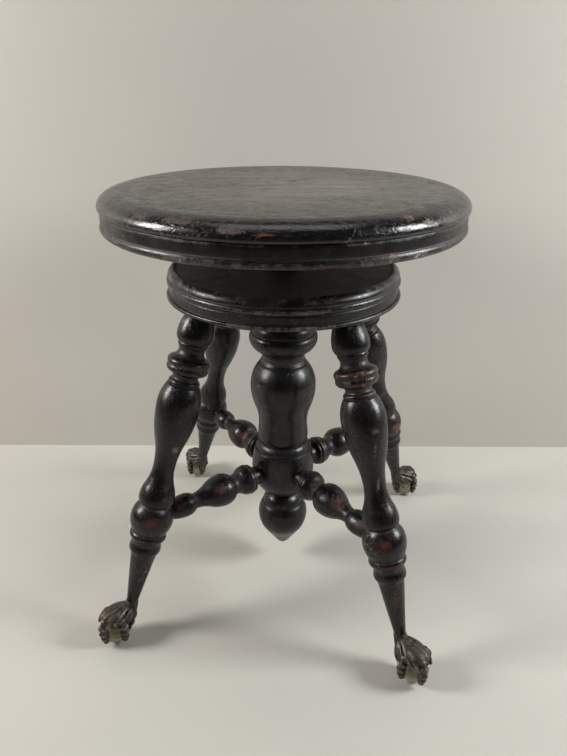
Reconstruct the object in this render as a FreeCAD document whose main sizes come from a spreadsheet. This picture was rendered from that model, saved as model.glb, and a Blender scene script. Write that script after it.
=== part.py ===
import FreeCAD, Part
import math
import os
import Sketcher
from FreeCAD import Placement, Rotation, Vector

# Revolving piano stool with a round wooden seat on a steel screw, a turned centre post,
# four splayed turned legs tied to the post by turned stretchers, and cast claw feet that
# hold glass balls. Millimetres, +Z up, -Y is the front, origin on the floor on the screw axis.

DIMENSIONS = {
    # running and glue clearances
    "run_gap": 0.3,
    "glue_gap": 0.1,
    "end_gap": 0.6,
    # seat board, round and flat on top
    "seat_diameter": 355.6,
    "seat_thickness": 16.3,
    "seat_edge_round": 10.8,
    "seat_lower_round": 3.2,
    # moulded board under the seat
    "under_band_inset": 2.0,
    "under_band_height": 10.2,
    "under_bead_inset": 0.8,
    "under_bead_height": 7.6,
    # four-armed cast spider that carries the seat
    "spider_thickness": 6.0,
    "spider_reach": 74.0,
    "spider_arm_width": 20.0,
    "spider_hub_radius": 24.0,
    "spider_hub_height": 16.0,
    "spider_hub_spread": 5.0,
    "spider_hub_taper": 3.0,
    "spider_hole_radius": 2.6,
    "spider_hole_inner": 42.0,
    # lifting screw and its nut
    "screw_radius": 12.7,
    "screw_pitch": 6.35,
    "turns_up": 16.0,
    "turns_down": 3.0,
    "screw_hold": 30.0,
    "screw_chamfer": 2.0,
    "nut_flange_lap": 1.5,
    "nut_flange_thickness": 5.0,
    "nut_chamfer": 1.5,
    "nut_proud": 0.6,
    "nut_barrel_radius": 18.5,
    "nut_barrel_length": 40.0,
    "nut_hole_radius": 2.6,
    "stop_gap": 1.0,
    # turned disc on top of the legs
    "disc_radius": 120.7,
    "disc_rim_inset": 8.0,
    "disc_rim_width": 1.6,
    "disc_field_depth": 1.2,
    "disc_round_inset": 2.3,
    "disc_round_height": 8.0,
    "disc_bead_inset": 1.0,
    "disc_bead_height": 6.4,
    "disc_band_inset": 2.7,
    "disc_band_height": 7.6,
    "disc_foot_height": 4.4,
    "disc_foot_round": 1.4,
    "groove_depth": 0.9,
    "groove_width": 0.9,
    "quirk": 0.6,
    # centre post
    "post_tenon_radius": 27.0,
    "post_cap_radius": 35.0,
    "post_cap_height": 7.0,
    "post_cove_radius": 28.0,
    "post_cove_fall": 17.0,
    "post_cove_rise": 20.0,
    "post_lip_inset": 2.7,
    "post_collar_radius": 37.3,
    "post_collar_swell": 6.2,
    "post_collar_fall": 24.5,
    "post_neck_radius": 23.4,
    "post_ring_rise": 2.6,
    "post_ring_height": 5.2,
    "post_vase_radius": 36.7,
    "post_vase_swell": 26.5,
    "post_waist_radius": 27.8,
    "post_flare_radius": 28.9,
    "post_flare_length": 17.6,
    "post_flare_fall": 6.6,
    "post_foot_radius": 25.8,
    "post_band_radius": 31.6,
    "post_band_height": 9.0,
    "post_body_radius": 36.7,
    "post_body_top": 33.0,
    "post_body_swell": 27.8,
    "post_body_fall": 36.5,
    "post_end_radius": 16.0,
    "post_bore_rest": 4.0,
    # drop finial under the post
    "finial_tenon_radius": 8.0,
    "finial_tenon_length": 15.0,
    "finial_torus_radius": 23.6,
    "finial_torus_height": 13.7,
    "finial_drop_radius": 29.7,
    "finial_drop_swell": 16.4,
    "finial_drop_fall": 18.0,
    "finial_cone_radius": 25.4,
    "finial_cone_length": 25.0,
    "finial_tip_radius": 8.6,
    "finial_tip_height": 5.0,
    # turned legs, lengths along the leg from the underside of the disc
    "leg_splay": 18.7,
    "leg_inset": 22.9,
    "leg_tenon_radius": 10.0,
    "leg_tenon_length": 18.0,
    "leg_root_length": 5.0,
    "leg_crown_radius": 12.4,
    "leg_bulb_radius": 18.1,
    "leg_bulb_swell": 21.5,
    "leg_bulb_fall": 7.5,
    "leg_bulb_foot": 15.6,
    "leg_ring_radius": 14.9,
    "leg_ring_height": 4.2,
    "leg_neck_radius": 12.8,
    "leg_neck_fall": 4.2,
    "leg_neck_rise": 7.1,
    "leg_bead_radius": 21.3,
    "leg_bead_rise": 4.0,
    "leg_bead_swell": 4.7,
    "leg_bead_dip": 1.2,
    "leg_bead_gap": 3.2,
    "leg_roll_inset": 0.5,
    "leg_roll_swell": 3.2,
    "leg_throat_inset": 8.6,
    "leg_throat_fall": 9.8,
    "leg_collar_rise": 3.0,
    "leg_collar_run": 4.8,
    "leg_collar_height": 1.8,
    "leg_vase_shoulder": 16.4,
    "leg_vase_radius": 22.1,
    "leg_vase_swell": 21.6,
    "leg_waist_radius": 11.2,
    "leg_waist_fall": 69.4,
    "leg_cup_radius": 18.6,
    "leg_cup_rise": 36.0,
    "leg_cup_fall": 5.5,
    "leg_cup_foot": 15.6,
    "leg_ball_radius": 22.3,
    "leg_ball_swell": 16.8,
    "leg_ball_fall": 16.0,
    "leg_ball_foot": 17.4,
    "leg_hoop_rise": 1.8,
    "leg_hoop_swell": 4.3,
    "leg_hoop_fall": 4.6,
    "leg_cove_dip": 3.7,
    "leg_cove_height": 5.4,
    "leg_band_rise": 1.1,
    "leg_band_swell": 5.8,
    "leg_band_fall": 5.3,
    "leg_shank_top": 13.8,
    "leg_shank_length": 64.4,
    "leg_ankle_radius": 5.7,
    "leg_peg_radius": 4.7,
    "leg_peg_length": 16.0,
    # turned stretchers from the post to the legs
    "rail_drop": 2.5,
    "rail_neck_radius": 11.0,
    "rail_neck_length": 9.4,
    "rail_seat_depth": 13.0,
    "rail_ring_radius": 16.3,
    "rail_ring_height": 3.4,
    "rail_ring_rise": 1.3,
    "rail_hoop_radius": 17.6,
    "rail_hoop_height": 5.0,
    "rail_hoop_rise": 1.6,
    "rail_gap_fall": 15.2,
    "rail_gap_radius": 11.4,
    "rail_vase_radius": 18.3,
    "rail_vase_swell": 15.4,
    "rail_waist_radius": 8.5,
    "rail_knob_radius": 12.8,
    "rail_knob_lip": 1.1,
    "rail_knob_swell": 10.0,
    "rail_knob_fall": 18.0,
    "rail_tenon_radius": 9.4,
    "rail_lead": 1.0,
    # claw feet and glass balls
    "ball_radius": 12.7,
    "ball_flat_angle": 76.0,
    "ball_outset": 11.4,
    "ankle_height": 42.0,
    "ankle_radius": 6.5,
    "ankle_flare": 1.4,
    "ankle_length": 25.0,
    "palm_bottom": 12.0,
    "palm_height": 31.5,
    "palm_half_depth": 12.8,
    "palm_inset": 0.8,
    "palm_half_width": 12.2,
    "toe_reach": 14.1,
    "toe_root_radius": 5.2,
    "toe_knuckle_radius": 4.6,
    "toe_joint_radius": 4.0,
    "toe_tip_radius": 2.8,
    "toe_knuckle_height": 18.0,
    "toe_joint_height": 9.4,
    "toe_tip_height": 2.4,
}

CORNERS = {"front_left": 225.0, "front_right": 315.0, "back_right": 45.0, "back_left": 135.0}

doc = FreeCAD.newDocument("PianoStool")
sheet = doc.addObject("Spreadsheet::Sheet", "Dims")
for row, (name, value) in enumerate(DIMENSIONS.items(), start=1):
    sheet.set("A%d" % row, name)
    sheet.set("B%d" % row, str(value))
    sheet.setAlias("B%d" % row, name)
doc.recompute()


class Size:
    """A number together with the sheet formula that gives it."""

    def __init__(self, value, text):
        self.value = float(value)
        self.text = text

    def _join(self, other, sign, value):
        return Size(value, "(%s %s %s)" % (self.text, sign, other.text))

    def __add__(self, other):
        other = as_size(other)
        return self._join(other, "+", self.value + other.value)

    def __sub__(self, other):
        other = as_size(other)
        return self._join(other, "-", self.value - other.value)

    def __mul__(self, other):
        other = as_size(other)
        return self._join(other, "*", self.value * other.value)

    def __truediv__(self, other):
        other = as_size(other)
        return self._join(other, "/", self.value / other.value)

    def __neg__(self):
        return Size(-self.value, "(-%s)" % self.text)


def as_size(item):
    return item if isinstance(item, Size) else Size(item, repr(float(item)))


def cell(name):
    return Size(sheet.get(name), "Dims." + name)


def total(*names):
    result = cell(names[0])
    for name in names[1:]:
        result = result + cell(name)
    return result


def cosine(angle):
    return Size(math.cos(math.radians(angle.value)), "cos(%s * 1deg)" % angle.text)


def sine(angle):
    return Size(math.sin(math.radians(angle.value)), "sin(%s * 1deg)" % angle.text)


def new_body(name):
    body = doc.addObject("PartDesign::Body", name)
    body.Label = name
    return body


class Drawing:
    """A sketch on one of a body's origin planes, whose constraints are solved together."""

    def __init__(self, body, role, name):
        plane = [item for item in body.Origin.OriginFeatures if item.Role == role][0]
        self.sketch = body.newObject("Sketcher::SketchObject", name)
        self.sketch.AttachmentSupport = [(plane, "")]
        self.sketch.MapMode = "FlatFace"
        self.constraints = []
        self.formulas = []

    def raise_plane(self, height):
        self.sketch.AttachmentOffset = Placement(Vector(0, 0, height.value), Rotation())
        self.sketch.setExpression("AttachmentOffset.Base.z", height.text)

    def hold(self, kind, *where):
        self.constraints.append(Sketcher.Constraint(kind, *where))
        self.formulas.append(None)

    def bind(self, kind, *rest):
        """A dimension tied to its sheet formula."""
        *where, size = rest
        self.constraints.append(Sketcher.Constraint(kind, *where, size.value))
        self.formulas.append(size.text)

    def pin_point(self, edge, end, x, y):
        """Hold one end of an edge at given distances from the sketch's origin."""
        for kind, axis, size in (("DistanceX", -2, x), ("DistanceY", -1, y)):
            if abs(size.value) < 1e-9:
                self.hold("PointOnObject", edge, end, axis)
            elif size.value > 0:
                self.bind(kind, -1, 1, edge, end, size)
            else:
                self.bind(kind, edge, end, -1, 1, -size)

    def straight(self, x1, y1, x2, y2, construction=False):
        line = Part.LineSegment(Vector(x1, y1, 0), Vector(x2, y2, 0))
        return self.sketch.addGeometry(line, construction)

    def polygon(self, points):
        """Closed straight outline through points given as pairs of sizes."""
        first = None
        count = len(points)
        for number, (x, y) in enumerate(points):
            nx, ny = points[(number + 1) % count]
            edge = self.straight(x.value, y.value, nx.value, ny.value)
            self.pin_point(edge, 1, x, y)
            if first is None:
                first = edge
            else:
                self.hold("Coincident", edge - 1, 2, edge, 1)
        self.hold("Coincident", first + count - 1, 2, first, 1)

    def circle(self, x, radius):
        """A circle with its centre on the sketch's horizontal axis."""
        round_edge = Part.Circle(Vector(x.value, 0, 0), Vector(0, 0, 1), radius.value)
        edge = self.sketch.addGeometry(round_edge)
        self.bind("Radius", edge, radius)
        self.hold("PointOnObject", edge, 3, -1)
        self.bind("DistanceX", -1, 1, edge, 3, x)

    def settle(self):
        self.sketch.addConstraint(self.constraints)
        for index, text in enumerate(self.formulas):
            if text is not None:
                self.sketch.setExpression("Constraints[%d]" % index, text)
        self.sketch.Visibility = False
        return self.sketch


class Turning:
    """Half outline of a turned piece, walked down its axis from the top."""

    def __init__(self, body, top):
        self.body = body
        self.drawing = Drawing(body, "XZ_Plane", body.Label + "_outline")
        self.top = top
        self.x = as_size(0)
        self.y = top.value
        self.last = None

    def _add(self, curve, start, end, radius, drop):
        drawing = self.drawing
        edge = drawing.sketch.addGeometry(curve)
        if self.last is None:
            drawing.pin_point(edge, start, as_size(0), self.top)
            self.first = (edge, start)
        else:
            drawing.hold("Coincident", *self.last, edge, start)
        if radius is None:
            drawing.hold("PointOnObject", edge, end, -2)
        else:
            drawing.bind("DistanceX", -1, 1, edge, end, radius)
        if drop is None:
            drawing.hold("Horizontal", edge)
        else:
            drawing.bind("DistanceY", edge, end, edge, start, drop)
            self.y = self.y - drop.value
        self.last = (edge, end)
        self.x = as_size(0) if radius is None else radius
        return edge

    def step(self, radius):
        """Go straight in or out to a radius, or to the axis with None."""
        goal = 0.0 if radius is None else radius.value
        line = Part.LineSegment(Vector(self.x.value, self.y, 0), Vector(goal, self.y, 0))
        self._add(line, 1, 2, radius, None)
        return self

    def line(self, drop, radius):
        start = Vector(self.x.value, self.y, 0)
        line = Part.LineSegment(start, Vector(radius.value, self.y - drop.value, 0))
        self._add(line, 1, 2, radius, drop)
        return self

    def _arc(self, drop, radius, upright_at_end):
        """An arc that runs parallel to the axis at one of its two ends."""
        start = Vector(self.x.value, self.y, 0)
        end = Vector(radius.value, self.y - drop.value, 0)
        dx = end.x - start.x
        reach = (dx * dx + drop.value ** 2) / (2 * dx)
        if upright_at_end:
            centre = Vector(end.x - reach, end.y, 0)
        else:
            centre = Vector(start.x + reach, start.y, 0)
        turn = (start - centre).cross(end - centre).z
        low, high = (start, end) if turn > 0 else (end, start)
        a = math.atan2(low.y - centre.y, low.x - centre.x)
        b = math.atan2(high.y - centre.y, high.x - centre.x)
        if b < a:
            b += 2 * math.pi
        arc = Part.ArcOfCircle(Part.Circle(centre, Vector(0, 0, 1), abs(reach)), a, b)
        change = radius - self.x
        bow = "((%s)^2 + (%s)^2) / (2 * abs(%s))" % (drop.text, change.text, change.text)
        positions = (1, 2) if turn > 0 else (2, 1)
        edge = self._add(arc, *positions, radius, drop)
        self.drawing.bind("Radius", edge, Size(abs(reach), bow))
        return self

    def swell(self, drop, radius):
        """Arc that ends parallel to the axis, as at a crest or in a neck."""
        return self._arc(drop, radius, True)

    def fall(self, drop, radius):
        """Arc that starts parallel to the axis."""
        return self._arc(drop, radius, False)

    def ogee(self, drop, radius, share=0.5):
        """Two arcs that meet smoothly, parallel to the axis at both ends."""
        part = drop * share
        middle = self.x + (radius - self.x) * share
        self.fall(part, middle)
        return self.swell(drop - part, radius)

    def groove(self, radius):
        """An incised line, followed by a step out to a radius."""
        self.step(self.x - cell("groove_depth"))
        self.line(cell("groove_width"), self.x)
        return self.step(radius)

    def revolve(self):
        """Close the outline along the axis and turn it."""
        if self.x.value > 0:
            self.step(None)
        edge = self.drawing.straight(0, self.y, 0, self.top.value)
        self.drawing.hold("Coincident", *self.last, edge, 1)
        self.drawing.hold("Coincident", edge, 2, *self.first)
        sketch = self.drawing.settle()
        turned = self.body.newObject("PartDesign::Revolution", self.body.Label + "_turned")
        turned.Profile = sketch
        turned.ReferenceAxis = (sketch, ["V_Axis"])
        turned.Angle = 360.0
        doc.recompute()
        return turned


def bore(body, name, corners, axis=None):
    """Cut a round hole by turning a straight outline about the Z axis or a drawn line."""
    before = body.Shape.Volume
    drawing = Drawing(body, "XZ_Plane", name + "_outline")
    reference = "V_Axis"
    if axis is not None:
        (x1, y1), (x2, y2) = axis
        edge = drawing.straight(x1.value, y1.value, x2.value, y2.value, True)
        drawing.pin_point(edge, 1, x1, y1)
        drawing.pin_point(edge, 2, x2, y2)
        reference = "Axis0"
    drawing.polygon(corners)
    sketch = drawing.settle()
    cut = body.newObject("PartDesign::Groove", name)
    cut.Profile = sketch
    cut.ReferenceAxis = (sketch, [reference])
    cut.Angle = 360.0
    doc.recompute()
    if body.Shape.Volume > before - 1.0:
        raise RuntimeError("%s cuts nothing" % name)
    return cut


def round_hole(body, name, radius, top, bottom):
    zero = as_size(0)
    return bore(body, name, [(zero, bottom), (radius, bottom), (radius, top), (zero, top)])


def slanted_hole(body, name, origin, direction, radius, start, end):
    """Round hole along a line in the XZ plane, from one distance along it to another."""
    ox, oy = origin
    dx, dy = direction

    def point(along, aside):
        return (ox + dx * along - dy * aside, oy + dy * along + dx * aside)

    zero = as_size(0)
    corners = [point(start, zero), point(end, zero), point(end, radius), point(start, radius)]
    return bore(body, name, corners, (point(start, zero), point(end, zero)))


def around(body, name, feature, copies):
    """Repeat a feature about the body's Z axis."""
    pattern = body.newObject("PartDesign::PolarPattern", name)
    pattern.Originals = [feature]
    pattern.Axis = (feature.Profile[0], ["V_Axis"])
    pattern.Angle = 360.0
    pattern.Occurrences = copies
    body.Tip = pattern
    doc.recompute()
    return pattern


def around_upright(body, name, feature, copies):
    """Repeat a feature drawn on the XY plane about the body's Z axis."""
    pattern = body.newObject("PartDesign::PolarPattern", name)
    pattern.Originals = [feature]
    pattern.Axis = (feature.Profile[0], ["N_Axis"])
    pattern.Angle = 360.0
    pattern.Occurrences = copies
    body.Tip = pattern
    doc.recompute()
    return pattern


def raise_to(item, height, turn=0.0):
    """Stand a sub-part on the screw axis at a height, turned about that axis."""
    item.Placement = Placement(Vector(0, 0, height.value), Rotation(Vector(0, 0, 1), turn))
    item.setExpression("Placement.Base.z", height.text)


# Heights and stations that several pieces share
splay = cell("leg_splay")
LEG_TO_BALL = ("leg_root_length", "leg_bulb_swell", "leg_bulb_fall", "leg_ring_height",
               "leg_neck_fall", "leg_neck_rise", "leg_bead_swell", "leg_bead_gap",
               "leg_roll_swell", "leg_throat_fall", "leg_collar_run", "leg_collar_height",
               "groove_width", "leg_vase_swell", "leg_waist_fall", "leg_cup_rise",
               "leg_cup_fall", "leg_ball_swell")
LEG_BELOW_BALL = ("leg_ball_fall", "leg_hoop_swell", "leg_hoop_fall", "leg_cove_height",
                  "leg_band_swell", "leg_band_fall", "leg_shank_length")
ball_station = total(*LEG_TO_BALL)
ankle_station = ball_station + total(*LEG_BELOW_BALL)
base_height = cell("ankle_height") + ankle_station * cosine(splay)
rail_height = base_height - ball_station * cosine(splay) - cell("rail_drop")
leg_circle = cell("disc_radius") - cell("leg_inset")
rail_station = ball_station + cell("rail_drop") / cosine(splay)
rail_leg_radius = leg_circle + rail_station * sine(splay)
disc_thickness = (total("disc_round_height", "disc_bead_height", "disc_band_height",
                        "disc_foot_height") + cell("groove_width") * 3)
disc_top = base_height + disc_thickness
nut_top = disc_top - cell("disc_field_depth") + cell("nut_proud")
nut_seat = nut_top - cell("nut_flange_thickness")
nut_flange_radius = total("post_tenon_radius", "nut_flange_lap")
lift = cell("turns_down") * cell("screw_pitch")
travel = (cell("turns_down") + cell("turns_up")) * cell("screw_pitch")
hub_bottom = nut_top + cell("stop_gap") + lift
seat_underside = hub_bottom + cell("spider_hub_height") + cell("spider_thickness")
screw_length = cell("stop_gap") + travel + cell("screw_hold")
bore_bottom = nut_top + cell("stop_gap") - screw_length - cell("post_bore_rest")
zero = as_size(0)
quirk = cell("quirk")
nodes = []


def make_seat_top():
    body = new_body("seat_top")
    radius = cell("seat_diameter") / 2
    Turning(body, cell("seat_thickness")).step(radius).line(cell("seat_thickness"), radius).revolve()
    for number, (level, size) in enumerate(((cell("seat_thickness"), "seat_edge_round"),
                                            (zero, "seat_lower_round")), start=1):
        base = body.Tip
        edges = ["Edge%d" % (place + 1) for place, edge in enumerate(base.Shape.Edges)
                 if edge.Closed and abs(edge.BoundBox.ZMax - level.value) < 1e-6
                 and abs(edge.BoundBox.ZMin - level.value) < 1e-6]
        fillet = body.newObject("PartDesign::Fillet", "seat_round_%d" % number)
        fillet.Base = (base, edges)
        fillet.Radius = cell(size).value
        fillet.setExpression("Radius", cell(size).text)
        doc.recompute()
    raise_to(body, seat_underside + total("under_band_height", "groove_width",
                                          "under_bead_height"))
    nodes.append(body)


def make_seat_underboard():
    body = new_body("seat_underboard")
    seat_radius = cell("seat_diameter") / 2
    band = seat_radius - cell("under_band_inset")
    half = cell("under_bead_height") / 2
    height = total("under_band_height", "groove_width", "under_bead_height")
    outline = Turning(body, height)
    outline.step(band).line(cell("under_band_height"), band)
    outline.groove(band - quirk)
    outline.swell(half, seat_radius - cell("under_bead_inset")).fall(half, band - quirk)
    outline.revolve()
    raise_to(body, seat_underside)
    nodes.append(body)


def make_spider():
    """Cast spider: a hub for the screw and four flat arms that taper to round ends."""
    body = new_body("spider")
    height = total("spider_hub_height", "spider_thickness")
    hub = cell("spider_hub_radius")
    outline = Turning(body, height)
    spread, taper = hub + cell("spider_hub_spread"), cell("spider_hub_taper")
    outline.step(spread).line(cell("spider_thickness"), spread)
    outline.swell(cell("spider_hub_height") - taper, hub - taper).line(taper, hub - taper)
    outline.revolve()
    arm = Drawing(body, "XY_Plane", "spider_arm_outline")
    arm.raise_plane(height)
    reach = cell("spider_reach")
    wide = cell("spider_arm_width") / 2
    narrow = wide * 0.75
    arm.polygon([(hub * 0.7, -wide), (reach - narrow * 0.8, -narrow), (reach, -narrow * 0.45),
                 (reach, narrow * 0.45), (reach - narrow * 0.8, narrow), (hub * 0.7, wide)])
    pad = body.newObject("PartDesign::Pad", "spider_arm")
    pad.Profile = arm.settle()
    pad.Reversed = True
    pad.Length = cell("spider_thickness").value
    pad.setExpression("Length", cell("spider_thickness").text)
    doc.recompute()
    around_upright(body, "spider_arms", pad, 4)
    holes = Drawing(body, "XY_Plane", "spider_hole_outline")
    holes.raise_plane(height)
    holes.circle(cell("spider_hole_inner"), cell("spider_hole_radius"))
    holes.circle(reach - wide, cell("spider_hole_radius"))
    before = body.Shape.Volume
    drill = body.newObject("PartDesign::Pocket", "spider_hole")
    drill.Profile = holes.settle()
    drill.Length = cell("spider_thickness").value * 2
    drill.setExpression("Length", (cell("spider_thickness") * 2).text)
    doc.recompute()
    around_upright(body, "spider_holes", drill, 4)
    if body.Shape.Volume > before - 8 * 3.0 * cell("spider_hole_radius").value ** 2 * 5:
        raise RuntimeError("spider holes cut nothing")
    round_hole(body, "spider_bore", cell("screw_radius") + cell("run_gap"), height + 1, as_size(-1))
    raise_to(body, hub_bottom, 45.0)
    nodes.append(body)


def make_screw():
    body = new_body("screw")
    radius = cell("screw_radius")
    above = total("spider_hub_height", "spider_thickness") - cell("run_gap")
    outline = Turning(body, above)
    chamfer = cell("screw_chamfer")
    outline.step(radius).line(above + screw_length - chamfer, radius)
    outline.line(chamfer, radius - chamfer)
    outline.revolve()
    raise_to(body, hub_bottom)
    nodes.append(body)


def make_nut_plate():
    """Flanged nut let into the top of the disc, with its barrel down in the post."""
    body = new_body("nut_plate")
    flange = nut_flange_radius
    outline = Turning(body, zero)
    chamfer = cell("nut_chamfer")
    outline.step(flange - chamfer).line(chamfer, flange)
    outline.line(cell("nut_flange_thickness") - chamfer, flange)
    outline.step(cell("nut_barrel_radius"))
    outline.line(cell("nut_barrel_length"), cell("nut_barrel_radius"))
    outline.revolve()
    depth = total("nut_flange_thickness", "nut_barrel_length")
    round_hole(body, "nut_bore", cell("screw_radius") + cell("run_gap"), as_size(1), -(depth + 1))
    holes = Drawing(body, "XY_Plane", "nut_hole_outline")
    holes.circle((flange + cell("nut_barrel_radius")) / 2, cell("nut_hole_radius"))
    before = body.Shape.Volume
    drill = body.newObject("PartDesign::Pocket", "nut_hole")
    drill.Profile = holes.settle()
    drill.Length = cell("nut_flange_thickness").value * 1.2
    drill.setExpression("Length", (cell("nut_flange_thickness") * 1.2).text)
    doc.recompute()
    around_upright(body, "nut_holes", drill, 4)
    if body.Shape.Volume > before - 200:
        raise RuntimeError("nut holes cut nothing")
    raise_to(body, nut_top)
    nodes.append(body)


def make_base_disc():
    """Moulded disc with a sunk flat field, a recess for the nut and four slanted sockets."""
    body = new_body("base_disc")
    foot = cell("disc_radius")
    rim = foot - cell("disc_rim_inset")
    band = foot - cell("disc_band_inset")
    half = cell("disc_bead_height") / 2
    outline = Turning(body, zero)
    outline.step(rim).swell(cell("disc_round_height"), foot - cell("disc_round_inset"))
    outline.groove(band)
    outline.swell(half, foot - cell("disc_bead_inset")).fall(half, band)
    shoulder, foot_half = foot - cell("disc_foot_round"), cell("disc_foot_height") / 2
    outline.groove(band).line(cell("disc_band_height"), band).groove(shoulder)
    outline.swell(foot_half, foot).fall(foot_half, shoulder)
    outline.revolve()
    field_depth = cell("disc_field_depth")
    round_hole(body, "disc_field", rim - cell("disc_rim_width"), as_size(1), -field_depth)
    recess = nut_seat - disc_top
    round_hole(body, "nut_recess", nut_flange_radius + cell("glue_gap"), as_size(1), recess)
    round_hole(body, "post_socket", cell("post_tenon_radius") + cell("glue_gap"),
               as_size(2), -(disc_thickness + 1))
    direction = (-sine(splay), cosine(splay))
    socket = slanted_hole(body, "leg_socket", (leg_circle, -disc_thickness), direction,
                          cell("leg_tenon_radius") + cell("glue_gap"), as_size(-8),
                          cell("leg_tenon_length") + cell("end_gap"))
    around(body, "leg_sockets", socket, 4)
    raise_to(body, disc_top, 45.0)
    nodes.append(body)


def make_post():
    """Centre post: tenon in the disc, cove, collar, vase, waist and the body for the rails."""
    body = new_body("post")
    tenon = nut_seat - base_height
    top = tenon
    outline = Turning(body, top)
    outline.step(cell("post_tenon_radius")).line(tenon, cell("post_tenon_radius"))
    outline.step(cell("post_cap_radius"))
    outline.line(cell("post_cap_height"), cell("post_cap_radius"))
    outline.ogee(cell("post_cove_fall"), cell("post_cove_radius"))
    lip = cell("post_collar_radius") - cell("post_lip_inset")
    outline.ogee(cell("post_cove_rise"), lip).groove(lip)
    outline.swell(cell("post_collar_swell"), cell("post_collar_radius"))
    outline.ogee(cell("post_collar_fall"), cell("post_neck_radius"), 0.55)
    ring = total("post_neck_radius", "post_ring_rise")
    outline.ogee(cell("post_ring_height"), ring).groove(ring + quirk)
    outline.swell(cell("post_vase_swell"), cell("post_vase_radius"))
    used = total("post_cap_height", "post_cove_fall", "post_cove_rise", "groove_width",
                 "post_collar_swell", "post_collar_fall", "post_ring_height", "groove_width",
                 "post_vase_swell", "post_flare_length", "post_flare_fall", "groove_width",
                 "post_band_height", "groove_width", "post_body_swell")
    outline.ogee(base_height - rail_height - used, cell("post_waist_radius"), 0.55)
    outline.ogee(cell("post_flare_length"), cell("post_flare_radius"))
    outline.fall(cell("post_flare_fall"), cell("post_foot_radius"))
    outline.groove(cell("post_foot_radius") + quirk)
    outline.swell(cell("post_band_height"), cell("post_band_radius"))
    outline.groove(cell("post_body_top"))
    outline.swell(cell("post_body_swell"), cell("post_body_radius"))
    outline.fall(cell("post_body_fall"), cell("post_end_radius"))
    outline.revolve()
    clear = cell("screw_radius") + cell("run_gap") + quirk
    round_hole(body, "screw_bore", clear, top + 1, bore_bottom - base_height)
    round_hole(body, "nut_socket", cell("nut_barrel_radius") + cell("glue_gap"), top + 1,
               top - cell("nut_barrel_length") - cell("end_gap"))
    end = rail_height - base_height - cell("post_body_fall")
    round_hole(body, "finial_socket", cell("finial_tenon_radius") + cell("glue_gap"),
               end + cell("finial_tenon_length") + cell("end_gap"), end - 1)
    level = rail_height - base_height
    socket = slanted_hole(body, "rail_socket", (zero, level), (as_size(1), zero),
                          cell("rail_neck_radius") + cell("glue_gap"),
                          cell("post_body_radius") - cell("rail_seat_depth") - cell("end_gap"),
                          cell("post_body_radius") + 5)
    around(body, "rail_sockets", socket, 4)
    raise_to(body, base_height, 45.0)
    nodes.append(body)


def make_finial():
    body = new_body("finial")
    outline = Turning(body, cell("finial_tenon_length"))
    outline.step(cell("finial_tenon_radius"))
    outline.line(cell("finial_tenon_length"), cell("finial_tenon_radius"))
    outline.step(cell("post_end_radius") - quirk)
    outline.swell(cell("finial_torus_height"), cell("finial_torus_radius"))
    outline.groove(cell("finial_torus_radius") + quirk)
    outline.swell(cell("finial_drop_swell"), cell("finial_drop_radius"))
    outline.fall(cell("finial_drop_fall"), cell("finial_cone_radius"))
    outline.line(cell("finial_cone_length"), cell("finial_tip_radius"))
    outline.line(cell("finial_tip_height") * 0.66, cell("finial_tip_radius") * 0.68)
    outline.line(cell("finial_tip_height") * 0.34, cell("finial_tip_radius") * 0.12)
    outline.revolve()
    raise_to(body, rail_height - cell("post_body_fall"))
    nodes.append(body)


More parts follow.
